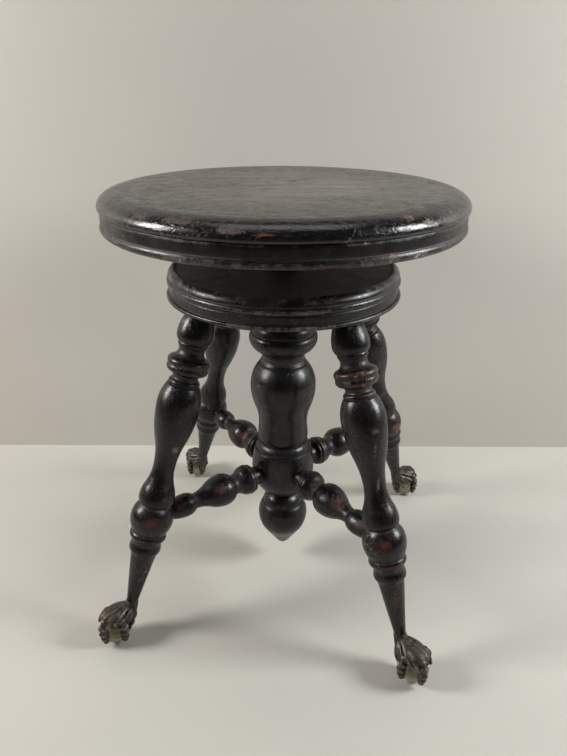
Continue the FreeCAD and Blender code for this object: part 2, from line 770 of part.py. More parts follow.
def make_leg(corner, azimuth):
    """Splayed turned leg: crown bulb, beads, long vase, cup, ball, hoops and a plain shank."""
    body = new_body("leg_" + corner)
    outline = Turning(body, cell("leg_tenon_length"))
    outline.step(cell("leg_tenon_radius"))
    outline.line(total("leg_tenon_length", "leg_root_length"), cell("leg_tenon_radius"))
    outline.step(cell("leg_crown_radius"))
    outline.swell(cell("leg_bulb_swell"), cell("leg_bulb_radius"))
    outline.fall(cell("leg_bulb_fall"), cell("leg_bulb_foot"))
    outline.step(cell("leg_ring_radius") - quirk)
    outline.swell(cell("leg_ring_height") / 2, cell("leg_ring_radius"))
    outline.fall(cell("leg_ring_height") / 2, cell("leg_ring_radius") - quirk)
    outline.swell(cell("leg_neck_fall"), cell("leg_neck_radius"))
    bead = cell("leg_bead_radius")
    throat = bead - cell("leg_throat_inset")
    collar = throat + cell("leg_collar_rise")
    outline.fall(cell("leg_neck_rise"), bead - cell("leg_bead_rise"))
    outline.swell(cell("leg_bead_swell"), bead)
    outline.fall(cell("leg_bead_gap"), bead - cell("leg_bead_dip"))
    outline.swell(cell("leg_roll_swell"), bead - cell("leg_roll_inset"))
    outline.ogee(cell("leg_throat_fall"), throat)
    outline.ogee(cell("leg_collar_run"), collar)
    outline.line(cell("leg_collar_height"), collar)
    outline.groove(cell("leg_vase_shoulder"))
    outline.swell(cell("leg_vase_swell"), cell("leg_vase_radius"))
    outline.ogee(cell("leg_waist_fall"), cell("leg_waist_radius"), 0.58)
    outline.ogee(cell("leg_cup_rise"), cell("leg_cup_radius"), 0.6)
    outline.fall(cell("leg_cup_fall"), cell("leg_cup_foot"))
    outline.swell(cell("leg_ball_swell"), cell("leg_ball_radius"))
    outline.fall(cell("leg_ball_fall"), cell("leg_ball_foot"))
    hoop = total("leg_ball_foot", "leg_hoop_rise")
    cove = hoop - cell("leg_cove_dip")
    outline.swell(cell("leg_hoop_swell"), hoop)
    outline.fall(cell("leg_hoop_fall"), cove)
    outline.line(cell("leg_cove_height"), cove)
    outline.swell(cell("leg_band_swell"), cove + cell("leg_band_rise"))
    outline.fall(cell("leg_band_fall"), cell("leg_shank_top"))
    outline.line(cell("leg_shank_length"), cell("leg_ankle_radius"))
    outline.step(cell("leg_peg_radius")).line(cell("leg_peg_length"), cell("leg_peg_radius"))
    outline.revolve()
    slanted_hole(body, "rail_seat_" + corner, (zero, -rail_station), (-cosine(splay), sine(splay)),
                 cell("rail_tenon_radius") + cell("glue_gap"),
                 cell("leg_ball_radius") - cell("rail_seat_depth") - cell("end_gap"),
                 cell("leg_ball_radius") + 5)
    turn = Rotation(Vector(0, 0, 1), azimuth) * Rotation(Vector(0, 1, 0), -splay.value)
    x = leg_circle * cosine(as_size(azimuth))
    y = leg_circle * sine(as_size(azimuth))
    body.Placement = Placement(Vector(x.value, y.value, base_height.value), turn)
    body.setExpression("Placement.Base.x", x.text)
    body.setExpression("Placement.Base.y", y.text)
    body.setExpression("Placement.Base.z", base_height.text)
    nodes.append(body)


def make_rail(corner, azimuth):
    """Turned stretcher, level, from a socket in the post to a socket in the leg's ball."""
    body = new_body("stretcher_" + corner)
    neck = cell("rail_neck_radius")
    start = cell("post_body_radius") - cell("rail_seat_depth")
    leg_face = rail_leg_radius - cell("leg_ball_radius")
    ring_half = cell("rail_ring_height") / 2
    hoop_half = cell("rail_hoop_height") / 2
    outline = Turning(body, zero)
    outline.step(neck).line(total("rail_seat_depth", "rail_neck_length"), neck)
    ring, hoop = cell("rail_ring_radius"), cell("rail_hoop_radius")
    outline.step(ring - cell("rail_ring_rise")).swell(ring_half, ring).fall(ring_half, ring - quirk)
    outline.step(hoop - cell("rail_hoop_rise")).swell(hoop_half, hoop).fall(hoop_half, hoop - quirk)
    outline.ogee(cell("rail_gap_fall"), cell("rail_gap_radius"))
    outline.fall(cell("rail_vase_swell") * 0.2, cell("rail_gap_radius") + quirk * 2)
    outline.swell(cell("rail_vase_swell") * 0.8, cell("rail_vase_radius"))
    used = total("post_body_radius", "rail_neck_length", "rail_ring_height", "rail_hoop_height",
                 "rail_gap_fall", "rail_vase_swell", "rail_knob_swell", "rail_knob_fall")
    outline.ogee(leg_face + cell("rail_lead") - used, cell("rail_waist_radius"))
    outline.step(total("rail_waist_radius", "rail_knob_lip"))
    outline.swell(cell("rail_knob_swell"), cell("rail_knob_radius"))
    outline.fall(cell("rail_knob_fall"), cell("rail_tenon_radius"))
    outline.line(cell("rail_seat_depth") - cell("rail_lead"), cell("rail_tenon_radius"))
    outline.revolve()
    turn = Rotation(Vector(0, 0, 1), azimuth) * Rotation(Vector(0, 1, 0), -90.0)
    x = start * cosine(as_size(azimuth))
    y = start * sine(as_size(azimuth))
    body.Placement = Placement(Vector(x.value, y.value, rail_height.value), turn)
    body.setExpression("Placement.Base.x", x.text)
    body.setExpression("Placement.Base.y", y.text)
    body.setExpression("Placement.Base.z", rail_height.text)
    nodes.append(body)


ball_height = cell("ball_radius") * sine(cell("ball_flat_angle"))
ball_circle = (leg_circle + (base_height - ball_height) * sine(splay) / cosine(splay)
               + cell("ball_outset"))


def primitive(kind, name, **sizes):
    """A Part primitive with its sizes tied to the sheet."""
    item = doc.addObject(kind, name)
    for key, size in sizes.items():
        setattr(item, key, size.value)
        item.setExpression(key, size.text)
    return item


def at_corner(item, azimuth):
    """Set a foot piece, built about the ball's centre, in its place."""
    x = ball_circle * cosine(as_size(azimuth))
    y = ball_circle * sine(as_size(azimuth))
    item.Placement = Placement(Vector(x.value, y.value, ball_height.value),
                               Rotation(Vector(0, 0, 1), azimuth))
    item.setExpression("Placement.Base.x", x.text)
    item.setExpression("Placement.Base.y", y.text)
    item.setExpression("Placement.Base.z", ball_height.text)


def make_ball(corner, azimuth):
    """Glass ball with the small flat that the floor wears on it."""
    ball = primitive("Part::Sphere", "ball_" + corner, Radius=cell("ball_radius"),
                     Angle1=-cell("ball_flat_angle"))
    ball.Label = "ball_" + corner
    at_corner(ball, azimuth)
    nodes.append(ball)


def make_claw(corner, azimuth):
    """Cast claw: ankle socket, humped palm over the ball and four toes that grip it."""
    name = "claw_" + corner
    pieces = []
    deep, wide = cell("palm_half_depth"), cell("palm_half_width")
    inset = cell("palm_inset")
    bottom = cell("palm_bottom")
    rise = cell("palm_height") - bottom
    # sections of the palm: share of its height, and shares of its widest section
    sections = []
    for number, (share, depth, width) in enumerate((
            (0.0, 0.5, 0.51), (0.31, 0.9, 0.9), (0.62, 1.0, 1.0), (0.83, 0.87, 0.88), (1.0, 0.48, 0.5))):
        level = bottom + rise * share
        section = primitive("Part::Ellipse", "%s_section_%d" % (name, number),
                            MajorRadius=deep * depth, MinorRadius=wide * width)
        section.Placement = Placement(Vector(-inset.value, 0, level.value), Rotation())
        section.setExpression("Placement.Base.x", (-inset).text)
        section.setExpression("Placement.Base.z", level.text)
        sections.append(section)
    loft = doc.addObject("Part::Loft", name + "_palm")
    loft.Sections = sections
    loft.Solid = True
    loft.Ruled = False
    pieces.append(loft)
    # the ankle leans with the leg, whose peg it takes
    lean = Rotation(Vector(0, 1, 0), -splay.value)
    down = lean.multVec(Vector(0, 0, -1))
    height = cell("ankle_height").value - ball_height.value
    entry = Vector(-cell("ball_outset").value - height * math.tan(math.radians(splay.value)), 0, height)
    ankle = primitive("Part::Cone", name + "_ankle", Radius1=total("ankle_radius", "ankle_flare"),
                      Radius2=cell("ankle_radius"), Height=cell("ankle_length"))
    ankle.Placement = Placement(entry + down * cell("ankle_length").value, lean)
    pieces.append(ankle)
    reach = cell("toe_reach")
    joints = ((reach * 0.5, cell("toe_knuckle_height") * 1.35, cell("toe_root_radius")),
              (reach * 0.96, cell("toe_knuckle_height"), cell("toe_knuckle_radius")),
              (reach, cell("toe_joint_height"), cell("toe_joint_radius")),
              (reach * 0.97, cell("toe_tip_height"), cell("toe_tip_radius")))
    for toe, turn in enumerate((0.0, 90.0, 180.0, 270.0)):
        spin = Rotation(Vector(0, 0, 1), turn)
        for number, (out, level, radius) in enumerate(joints):
            label = "%s_toe_%d_%d" % (name, toe, number)
            here = spin.multVec(Vector(out.value, 0, level.value))
            knuckle = primitive("Part::Sphere", label, Radius=radius)
            knuckle.Placement = Placement(here, Rotation())
            pieces.append(knuckle)
            if number < len(joints) - 1:
                ahead = joints[number + 1]
                there = spin.multVec(Vector(ahead[0].value, 0, ahead[1].value))
                bone = primitive("Part::Cone", label + "_bone", Radius1=radius * 0.9,
                                 Radius2=ahead[2] * 0.9)
                bone.Height = (there - here).Length
                bone.Placement = Placement(here, Rotation(Vector(0, 0, 1), there - here))
                pieces.append(bone)
    fused = doc.addObject("Part::MultiFuse", name + "_cast")
    fused.Shapes = pieces
    hollow = primitive("Part::Sphere", name + "_ball_seat",
                       Radius=total("ball_radius", "glue_gap"))
    peg_depth = total("leg_peg_length", "end_gap")
    peg = primitive("Part::Cylinder", name + "_peg_seat",
                    Radius=total("leg_peg_radius", "glue_gap"), Height=peg_depth)
    peg.Placement = Placement(entry + down * peg_depth.value, lean)
    tools = doc.addObject("Part::MultiFuse", name + "_seats")
    tools.Shapes = [hollow, peg]
    claw = doc.addObject("Part::Cut", name)
    claw.Base = fused
    claw.Tool = tools
    claw.Label = name
    doc.recompute()
    at_corner(claw, azimuth)
    nodes.append(claw)


make_seat_top()
make_seat_underboard()
make_spider()
make_screw()
make_nut_plate()
make_base_disc()
make_post()
make_finial()
for corner_name, corner_azimuth in CORNERS.items():
    make_leg(corner_name, corner_azimuth)
    make_rail(corner_name, corner_azimuth)
    make_claw(corner_name, corner_azimuth)
    make_ball(corner_name, corner_azimuth)

doc.recompute()
for item in doc.Objects:
    if "Invalid" in item.State or "Error" in item.State:
        raise RuntimeError("%s: %s" % (item.Name, item.State))
for node in nodes:
    if node.Shape.isNull() or not node.Shape.isValid() or len(node.Shape.Solids) != 1:
        raise RuntimeError("%s has a bad shape" % node.Label)

os.makedirs("parts", exist_ok=True)
for node in nodes:
    node.Shape.exportStep("parts/%s.step" % node.Label)
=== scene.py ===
# %% [markdown]
# # A revolving piano stool, dressed in Blender
#
# The stool is a turned, ebonised one: a thick round seat on a lifting screw, a moulded disc,
# a fat centre post with a drop under it, four splayed legs, four stretchers, and cast claws
# that grip glass balls. The CAD solids give every size. This script builds the visible
# surfaces over them, with softened edges, dents and wear, and gives each its finish.
#
# Everything is in metres in the CAD frame, but profiles are written in millimetres, as a
# turner would mark them out, and are multiplied by MM at the end.

# %% The frame
import math

import bpy
import numpy as np
from mathutils import Matrix, Vector


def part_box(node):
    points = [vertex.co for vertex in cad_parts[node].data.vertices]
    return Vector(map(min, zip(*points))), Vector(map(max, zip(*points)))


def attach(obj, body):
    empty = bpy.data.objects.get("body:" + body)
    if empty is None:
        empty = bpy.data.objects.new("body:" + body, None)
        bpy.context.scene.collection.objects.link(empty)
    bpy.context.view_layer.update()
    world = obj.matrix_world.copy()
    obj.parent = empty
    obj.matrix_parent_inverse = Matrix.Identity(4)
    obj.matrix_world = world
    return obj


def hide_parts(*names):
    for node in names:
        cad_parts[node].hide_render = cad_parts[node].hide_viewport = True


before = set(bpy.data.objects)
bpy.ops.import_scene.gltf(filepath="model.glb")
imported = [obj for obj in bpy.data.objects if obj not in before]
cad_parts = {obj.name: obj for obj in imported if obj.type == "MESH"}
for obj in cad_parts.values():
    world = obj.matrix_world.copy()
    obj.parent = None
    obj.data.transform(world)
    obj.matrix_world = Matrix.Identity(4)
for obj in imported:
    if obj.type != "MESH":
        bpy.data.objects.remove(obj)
bpy.context.view_layer.update()

MM = 0.001
TAU = 2.0 * math.pi
# Each leg's azimuth, in degrees.
CORNERS = {"front_left": 225.0, "front_right": 315.0, "back_right": 45.0, "back_left": 135.0}

# %% [markdown]
# ## The camera
#
# The photograph looks down at the stool from close by, a little to the right of its front.
# A camera could be placed by eye, but here its height, distance and tilt come from a fit to
# the circles of the seat and disc and to the four feet, so they are written as numbers. The
# lens is given for the long side of the picture, which is upright.

# %% Camera
VIEW_AZIMUTH = math.radians(8.48)
CAMERA_DISTANCE = 0.6091
CAMERA_HEIGHT = 0.5511
CAMERA_PITCH = math.radians(25.90)
CAMERA_YAW = math.radians(0.03)
CAMERA_ROLL = math.radians(-0.263)
FOCAL_PIXELS = 603.9
LONG_SIDE_PIXELS = 756
SENSOR = 36.0


def photo_frame(x, y, z):
    """A point given right of, behind and above the screw as the photographer saw them."""
    c, s = math.cos(VIEW_AZIMUTH), math.sin(VIEW_AZIMUTH)
    return Vector((c * x - s * y, s * x + c * y, z))


camera_data = bpy.data.cameras.new("camera")
camera_data.sensor_fit = "AUTO"
camera_data.sensor_width = SENSOR
camera_data.lens = FOCAL_PIXELS / LONG_SIDE_PIXELS * SENSOR
camera_data.clip_start = 0.02
camera_data.clip_end = 20.0
camera = bpy.data.objects.new("camera", camera_data)
bpy.context.scene.collection.objects.link(camera)
ahead = photo_frame(math.sin(CAMERA_YAW) * math.cos(CAMERA_PITCH),
                    math.cos(CAMERA_YAW) * math.cos(CAMERA_PITCH), -math.sin(CAMERA_PITCH))
level = photo_frame(math.cos(CAMERA_YAW), -math.sin(CAMERA_YAW), 0.0)
down = ahead.cross(level)
right = math.cos(CAMERA_ROLL) * level + math.sin(CAMERA_ROLL) * down
up = right.cross(ahead)
turn = Matrix((right, up, -ahead)).transposed().to_4x4()
camera.matrix_world = Matrix.Translation(photo_frame(0, -CAMERA_DISTANCE, CAMERA_HEIGHT)) @ turn
bpy.context.scene.camera = camera
print("camera at", [round(v, 3) for v in camera.matrix_world.translation],
      "lens", round(camera_data.lens, 2))

# %% [markdown]
# ## Node helpers
#
# Materials are built as node trees. A few small helpers keep that readable: `add` makes a node
# and fills its inputs with numbers, colours or links, `times` and `plus` do the sums, and
# `group` starts a shared group whose named sockets every material can set for itself.

# %% Helpers for shader nodes


def plug(tree, value, socket):
    """Set a socket to a number or colour, or link it to a node or socket."""
    if isinstance(value, bpy.types.Node):
        value = value.outputs[0]
    if isinstance(value, bpy.types.NodeSocket):
        tree.links.new(value, socket)
    else:
        socket.default_value = value


def add(tree, kind, inputs=None, **options):
    """A node of a kind, with its options and its inputs by name or number."""
    item = tree.nodes.new("ShaderNode" + kind)
    for key, value in options.items():
        setattr(item, key, value)
    for key, value in (inputs or {}).items():
        plug(tree, value, item.inputs[key])
    return item


def calc(tree, operation, first, second=0.0, clamp=False):
    """A math node's result, held between 0 and 1 where asked."""
    inputs = {0: first, 1: second}
    return add(tree, "Math", inputs, operation=operation, use_clamp=clamp).outputs[0]


def times(tree, first, second):
    return calc(tree, "MULTIPLY", first, second)


def plus(tree, base, value, weight, clamp=False):
    """base + value * weight."""
    return calc(tree, "ADD", base, times(tree, value, weight), clamp)


def vector(tree, operation, inputs, output=0):
    """A vector math node's result. Its output 1 is a plain value, such as a length."""
    return add(tree, "VectorMath", inputs, operation=operation).outputs[output]


def spread(tree, value, low, high, out_low=0.0, out_high=1.0):
    """Map a value's range to another range, and hold it there."""
    inputs = {0: value, 1: low, 2: high, 3: out_low, 4: out_high}
    return add(tree, "MapRange", inputs).outputs[0]


def mix(tree, share, first, second):
    """Mix two colours by a share."""
    item = add(tree, "Mix", {0: share, 6: first, 7: second}, data_type="RGBA")
    return item.outputs[2]


def noise(tree, place, scale, detail=4.0, rough=0.55, warp=0.0):
    inputs = {"Vector": place, "Scale": scale, "Detail": detail, "Roughness": rough,
              "Distortion": warp}
    return add(tree, "TexNoise", inputs).outputs[0]


def stretch(tree, place, factors, shift=(0.0, 0.0, 0.0)):
    inputs = {"Vector": place, "Location": shift, "Scale": factors}
    return add(tree, "Mapping", inputs).outputs[0]


# %% Groups, materials and colours


def group(name, inputs, outputs):
    """An empty shader group with its input and output sockets."""
    tree = bpy.data.node_groups.new(name, "ShaderNodeTree")
    for label, kind, value in inputs:
        socket = tree.interface.new_socket(label, in_out="INPUT", socket_type="NodeSocket" + kind)
        if value is not None:
            socket.default_value = value
    for label, kind in outputs:
        tree.interface.new_socket(label, in_out="OUTPUT", socket_type="NodeSocket" + kind)
    given, out = tree.nodes.new("NodeGroupInput"), tree.nodes.new("NodeGroupOutput")
    return tree, given.outputs, out.inputs


def give(tree, out, results):
    """Link a group's results to its outputs, and say what was made."""
    for label, value in results.items():
        plug(tree, value, out[label])
    print("group", tree.name, "has", len(tree.nodes), "nodes and gives", ", ".join(results))


def use(tree, shared, inputs):
    """Place a shared group in a material, with its own values, and return its outputs."""
    item = tree.nodes.new("ShaderNodeGroup")
    item.node_tree = shared
    for key, value in inputs.items():
        plug(tree, value, item.inputs[key])
    return item.outputs


def blank(name):
    """A new material and its empty node tree."""
    material = bpy.data.materials.new(name)
    material.use_nodes = True
    material.node_tree.nodes.clear()
    return material, material.node_tree


def carried(tree, label, output):
    """What each point of a piece carries: its place in the piece's own frame, or its relief."""
    return add(tree, "Attribute", attribute_name=label).outputs[output]


def rgb(red, green, blue):
    """A linear colour from the 0 to 255 values a paint chart gives."""
    def linear(v):
        v /= 255.0
        return v / 12.92 if v <= 0.04045 else ((v + 0.055) / 1.055) ** 2.4
    return (linear(red), linear(green), linear(blue), 1.0)


print("a chart's mid grey, 128, is", round(rgb(128, 128, 128)[0], 3), "of the light")

# %% [markdown]
# ## Shared effects
#
# Old ebonised wood is stained black and shellacked. Four things happen to it with age, and
# each is a shader group: long open grain shows through the film, the film wears off the
# proud edges down to red-brown wood while dust stays in the grooves, hairline scratches
# cross it, and here and there it is scuffed.

# %% Grain
grain, given, out = group("long_grain", [("Place", "Vector", None)],
                          [("Streaks", "Float"), ("Pores", "Float")])
streaks = noise(grain, stretch(grain, given["Place"], (240.0, 240.0, 9.0)), 1.0, 5.0, 0.6, 0.6)
pores = noise(grain, stretch(grain, given["Place"], (1300.0, 1300.0, 60.0)), 1.0, 2.0, 0.5)
give(grain, out, {"Streaks": spread(grain, streaks, 0.32, 0.68),
                  "Pores": spread(grain, pores, 0.60, 0.70)})

# %% Hairline scratches
hairs, given, out = group(
    "hairline_scratches", [("Place", "Vector", None), ("Amount", "Float", 0.5)],
    [("Lines", "Float")])
lines = 0.0
for factors, seed in (((60.0, 14.0, 25.0), 3.1), ((16.0, 70.0, 20.0), 9.4),
                      ((30.0, 26.0, 80.0), 17.7)):
    drawn = stretch(hairs, given["Place"], factors, (seed, seed * 0.7, -seed))
    field = noise(hairs, drawn, 1.0, 1.5, 0.4, 0.9)
    near = calc(hairs, "ABSOLUTE", calc(hairs, "SUBTRACT", field, 0.5))
    lines = calc(hairs, "MAXIMUM", lines, spread(hairs, near, 0.0, 0.006, 1.0, 0.0))
where = spread(hairs, noise(hairs, given["Place"], 34.0, 3.0), 0.5, 0.66)
give(hairs, out, {"Lines": times(hairs, times(hairs, lines, where), given["Amount"])})

# %% Worn shellac
worn, given, out = group(
    "worn_shellac", [("Place", "Vector", None), ("Relief", "Float", 0.0), ("Wear", "Float", 0.5),
                     ("Dust", "Float", 0.5)],
    [("Bare", "Float"), ("Chip", "Float"), ("Grime", "Float"), ("Film", "Float")])
place, relief = given["Place"], given["Relief"]
rubbed = plus(worn, times(worn, spread(worn, relief, 0.0, 1.0), 0.42),
              noise(worn, place, 22.0, 3.0, 0.6), 0.9)
rubbed = plus(worn, rubbed, noise(worn, place, 190.0, 5.0, 0.65), 0.8)
limit = spread(worn, given["Wear"], 0.0, 1.0, 1.48, 1.08)
past = calc(worn, "SUBTRACT", rubbed, limit)
flaked = spread(worn, noise(worn, place, 420.0, 3.0), 0.5, 0.58)
hollow = spread(worn, relief, -0.75, -0.15, 1.0, 0.0)
settled = spread(worn, noise(worn, place, 140.0, 4.0, 0.7), 0.35, 0.65, 0.35, 1.0)
give(worn, out, {"Bare": spread(worn, past, 0.0, 0.16),
                 "Chip": times(worn, spread(worn, past, 0.17, 0.22), flaked),
                 "Grime": times(worn, times(worn, hollow, settled), given["Dust"]),
                 "Film": spread(worn, noise(worn, place, 75.0, 6.0, 0.7), 0.3, 0.7)})

# %% Scuffs in one place
scuff, given, out = group(
    "scuff", [("Place", "Vector", None), ("Centre", "Vector", None),
              ("Reach", "Vector", (0.01,) * 3), ("Ragged", "Float", 0.5)], [("Mask", "Float")])
away = vector(scuff, "SUBTRACT", {0: given["Place"], 1: given["Centre"]})
away = vector(scuff, "DIVIDE", {0: away, 1: given["Reach"]})
away = vector(scuff, "LENGTH", {0: away}, 1)
torn = calc(scuff, "SUBTRACT", noise(scuff, given["Place"], 420.0, 6.0, 0.8), 0.5)
away = plus(scuff, away, torn, times(scuff, given["Ragged"], 6.0))
give(scuff, out, {"Mask": spread(scuff, away, 0.25, 1.0, 0.85, 0.0)})

# %% [markdown]
# ## Finishes
#
# Ebonised wood is one recipe with a few dials: how worn, how dusty, how glossy, and where its
# scuffs are. The black is never pure: a soft brown-black with blue-grey bloom where the old
# polish has gone cloudy. Roughness changes with the film, so the highlights break up as they
# do on a real rubbed surface.
#
# Two steps belong to the seat and the disc alone. The middle of the seat is painted pale, a
# painted sheen that stands for the backdrop's reflection on its top and fades darker towards
# the edge. It is also made rougher, as if sitters had rubbed it dull. Its shellac has
# crackled, and the disc's sunk field was never polished. Painting those marks on a picture
# would be quicker, but they are worked out from the distance to the axis and a cell pattern
# instead, so they stay sharp at any size.

# %% A pale painted sheen and a dull middle, and crackle
AXIS_SHAKE = 0.05


def from_axis(tree, stool, place):
    """Distance from the stool's axis, sqrt(x^2 + y^2) in metres, shaken by a slow noise."""
    level = vector(tree, "MULTIPLY", {0: stool, 1: (1.0, 1.0, 0.0)})
    distance = vector(tree, "LENGTH", {0: level}, 1)
    return plus(tree, distance, noise(tree, place, 9.0, 4.0), AXIS_SHAKE)


def sheen_and_dull_middle(tree, colour, place, streaks, radius, middle):
    """A middle tone that fades out from a start radius to an end one, speckled and streaked,
    with a few russet patches in it. On the seat it is a pale painted sheen, and on the disc it
    is the dull tone of its unpolished field. Returns the new colour and the mask."""
    share, start, end, tone = middle
    half = AXIS_SHAKE / 2.0
    # Painted sheen on the seat and the dull unpolished field on the disc: full inside the start
    # radius, none past the end.
    dull_and_sheen = spread(tree, radius, start + half, end + half, share, 0.0)
    speckle = spread(tree, noise(tree, place, 520.0, 4.0, 0.7), 0.38, 0.62, 0.45, 1.0)
    streaked_middle = times(tree, dull_and_sheen, spread(tree, streaks, 0.0, 1.0, 0.3, 1.0))
    # This mix paints the pale sheen into the seat's colour.
    colour = mix(tree, times(tree, streaked_middle, speckle), colour, tone)
    russet = spread(tree, noise(tree, place, 7.0, 3.0), 0.50, 0.68, 0.0, 0.5)
    return mix(tree, times(tree, russet, dull_and_sheen), colour, rgb(66, 44, 37)), dull_and_sheen


def crackled(tree, place, radius, amount):
    """Cracks that run across the seat from side to side: the edges of long cells, in patches,
    and weaker past the rim's shoulder."""
    drawn = add(tree, "Mapping", {"Vector": place, "Rotation": (0.0, 0.0, -VIEW_AZIMUTH),
                                  "Scale": (46.0, 150.0, 150.0)}).outputs[0]
    shake = add(tree, "TexNoise", {"Vector": place, "Scale": 60.0, "Detail": 3.0})
    drawn = vector(tree, "ADD", {0: drawn, 1: shake.outputs["Color"]})
    cells = add(tree, "TexVoronoi", {"Vector": drawn, "Scale": 1.0}, feature="DISTANCE_TO_EDGE")
    lines = spread(tree, cells.outputs["Distance"], 0.0, 0.07, 1.0, 0.0)
    lines = times(tree, lines, spread(tree, noise(tree, place, 15.0, 5.0, 0.6), 0.38, 0.58))
    return times(tree, lines, spread(tree, radius, 0.185, 0.2, amount, 0.3 * amount))


# %% Ebonised wood
BLACK, BROWN, HAZE = rgb(8, 7, 8), rgb(21, 16, 14), rgb(44, 43, 45)
DUST, SCRATCHED = rgb(74, 69, 65), rgb(122, 112, 104)


def ebonised(name, wear, dust, gloss, specular, wood, edge, scuffs=(), grain_turn=None,
             crackle=0.0, bloom=0.3, coat=0.0, middle=None, scratches=0.5):
    """Black stained wood under worn shellac. Scuffs are (centre, reach, colour, raggedness),
    in millimetres of the stool's own frame. A middle is (share, start, end, colour), and only
    a piece that has one can have crackle too."""
    material, tree = blank(name)
    place = carried(tree, "place", "Vector")
    stool = add(tree, "TexCoord").outputs["Object"]
    grain_place = place
    if grain_turn is not None:
        grain_place = add(tree, "Mapping", {"Vector": place, "Rotation": grain_turn}).outputs[0]
    age = use(tree, worn, {"Place": place, "Relief": carried(tree, "relief", "Fac"),
                           "Wear": wear, "Dust": dust})
    fibre = use(tree, grain, {"Place": grain_place})
    scratch = use(tree, hairs, {"Place": place, "Amount": scratches})["Lines"]
    streaks = spread(tree, fibre["Streaks"], 0.0, 1.0, 0.0, 0.8)
    colour = mix(tree, streaks, BLACK, BROWN)
    cloudy = spread(tree, noise(tree, place, 52.0, 5.0, 0.7), 0.50, 0.75, 0.0, bloom)
    colour = mix(tree, cloudy, colour, HAZE)
    dull_and_sheen = 0.0
    # The middle tone: a painted sheen on the seat, and the dull unpolished field on the disc.
    if middle:
        radius = from_axis(tree, stool, place)
        colour, dull_and_sheen = sheen_and_dull_middle(tree, colour, place, fibre["Streaks"], radius, middle)
    for mask, tone in ((times(tree, age["Bare"], 0.85), wood), (age["Chip"], edge),
                       (age["Grime"], DUST), (scratch, SCRATCHED)):
        colour = mix(tree, mask, colour, tone)
    rough = spread(tree, age["Film"], 0.0, 1.0, gloss - 0.09, gloss + 0.13)
    for mask, weight in ((age["Bare"], 0.12), (dull_and_sheen, 0.3), (age["Grime"], 0.35), (scratch, 0.2)):
        rough = plus(tree, rough, mask, weight, clamp=True)
    height = times(tree, fibre["Pores"], -0.35)
    for mask, weight in ((age["Film"], 0.4), (scratch, -0.5), (age["Chip"], -0.8)):
        height = plus(tree, height, mask, weight)
    if crackle:
        cracks = crackled(tree, place, radius, crackle)
        patches = spread(tree, noise(tree, place, 24.0, 4.0), 0.42, 0.6)
        open_pores = times(tree, fibre["Pores"], patches)
        colour = mix(tree, times(tree, cracks, 0.8), colour, BLACK)
        colour = mix(tree, times(tree, open_pores, 0.75), colour, BLACK)
        rough = plus(tree, rough, cracks, 0.25, clamp=True)
        height = plus(tree, height, cracks, -1.0)
    for centre, reach, tone, ragged in scuffs:
        mask = use(tree, scuff, {"Place": stool, "Centre": [v * MM for v in centre],
                                 "Reach": [v * MM for v in reach], "Ragged": ragged})["Mask"]
        colour = mix(tree, mask, colour, tone)
        rough = plus(tree, rough, mask, 0.2, clamp=True)
        height = plus(tree, height, mask, -0.5)
    bump = add(tree, "Bump", {"Height": height, "Strength": 0.8, "Distance": 0.00035})
    surface = add(tree, "BsdfPrincipled", {"Base Color": colour, "Roughness": rough,
                                           "Normal": bump})
    surface.inputs["Specular IOR Level"].default_value = specular
    surface.inputs["Coat Weight"].default_value = coat
    surface.inputs["Coat Roughness"].default_value = 0.16
    add(tree, "OutputMaterial", {"Surface": surface})
    print("finish", name, "has", len(tree.nodes), "nodes")
    return material


# %% [markdown]
# ## Where the wood is scuffed
#
# Each scuff was found in the photograph and set on the piece that it sits on: a centre and a
# reach along x, y and z in millimetres, the colour of the wood that shows, and how ragged its
# edge is. Seeded marks would be less work, but an old stool is known by its own few scars.

# %% Scuffs of the legs and stretchers
RED, PALE, PINK = rgb(80, 44, 34), rgb(138, 110, 92), rgb(92, 72, 68)
LEG_SCUFFS = [
    ((-91.8, -112.4, 221.6), (4.5, 4.5, 5.5), PALE, 0.75),
    ((-114.0, -140.5, 149.0), (10.0, 9.0, 7.0), RED, 0.45),
    ((103.6, -111.9, 261.6), (5.0, 4.0, 3.0), PINK, 0.5),
    ((104.5, -113.0, 240.0), (1.4, 3.0, 13.0), PALE, 0.7),
    ((82.1, -101.8, 307.9), (4.0, 3.5, 1.4), RED, 0.6),
    ((120.2, -140.3, 152.6), (8.0, 7.0, 6.0), RED, 0.45),
    ((135.3, 103.8, 143.0), (6.0, 6.0, 5.0), rgb(118, 74, 44), 0.5),
    ((110.5, -116.5, 204.7), (1.6, 3.0, 9.0), PALE, 0.8),
    ((-120.3, -138.7, 98.3), (5.0, 5.0, 9.0), rgb(70, 52, 44), 0.7),
    ((-98.0, -124.0, 182.0), (8.0, 7.0, 5.0), RED, 0.6),
    ((136.0, -145.1, 88.4), (5.0, 5.0, 13.0), rgb(78, 58, 48), 1.0)]
RAIL_SCUFFS = [
    ((-58.0, -73.0, 149.0), (9.0, 9.0, 6.0), RED, 0.6),
    ((70.0, -80.0, 149.0), (9.0, 9.0, 7.0), RED, 0.5),
    ((-60.1, 43.9, 146.6), (8.0, 8.0, 6.0), RED, 0.5),
    ((96.0, -106.0, 146.0), (7.0, 7.0, 6.0), RED, 0.6),
    ((-96.0, -104.0, 146.0), (7.0, 7.0, 6.0), RED, 0.6),
    ((44.0, -56.0, 150.0), (6.0, 6.0, 7.0), PALE, 0.9)]
print(len(LEG_SCUFFS), "scuffs on the legs,", len(RAIL_SCUFFS), "on the stretchers")

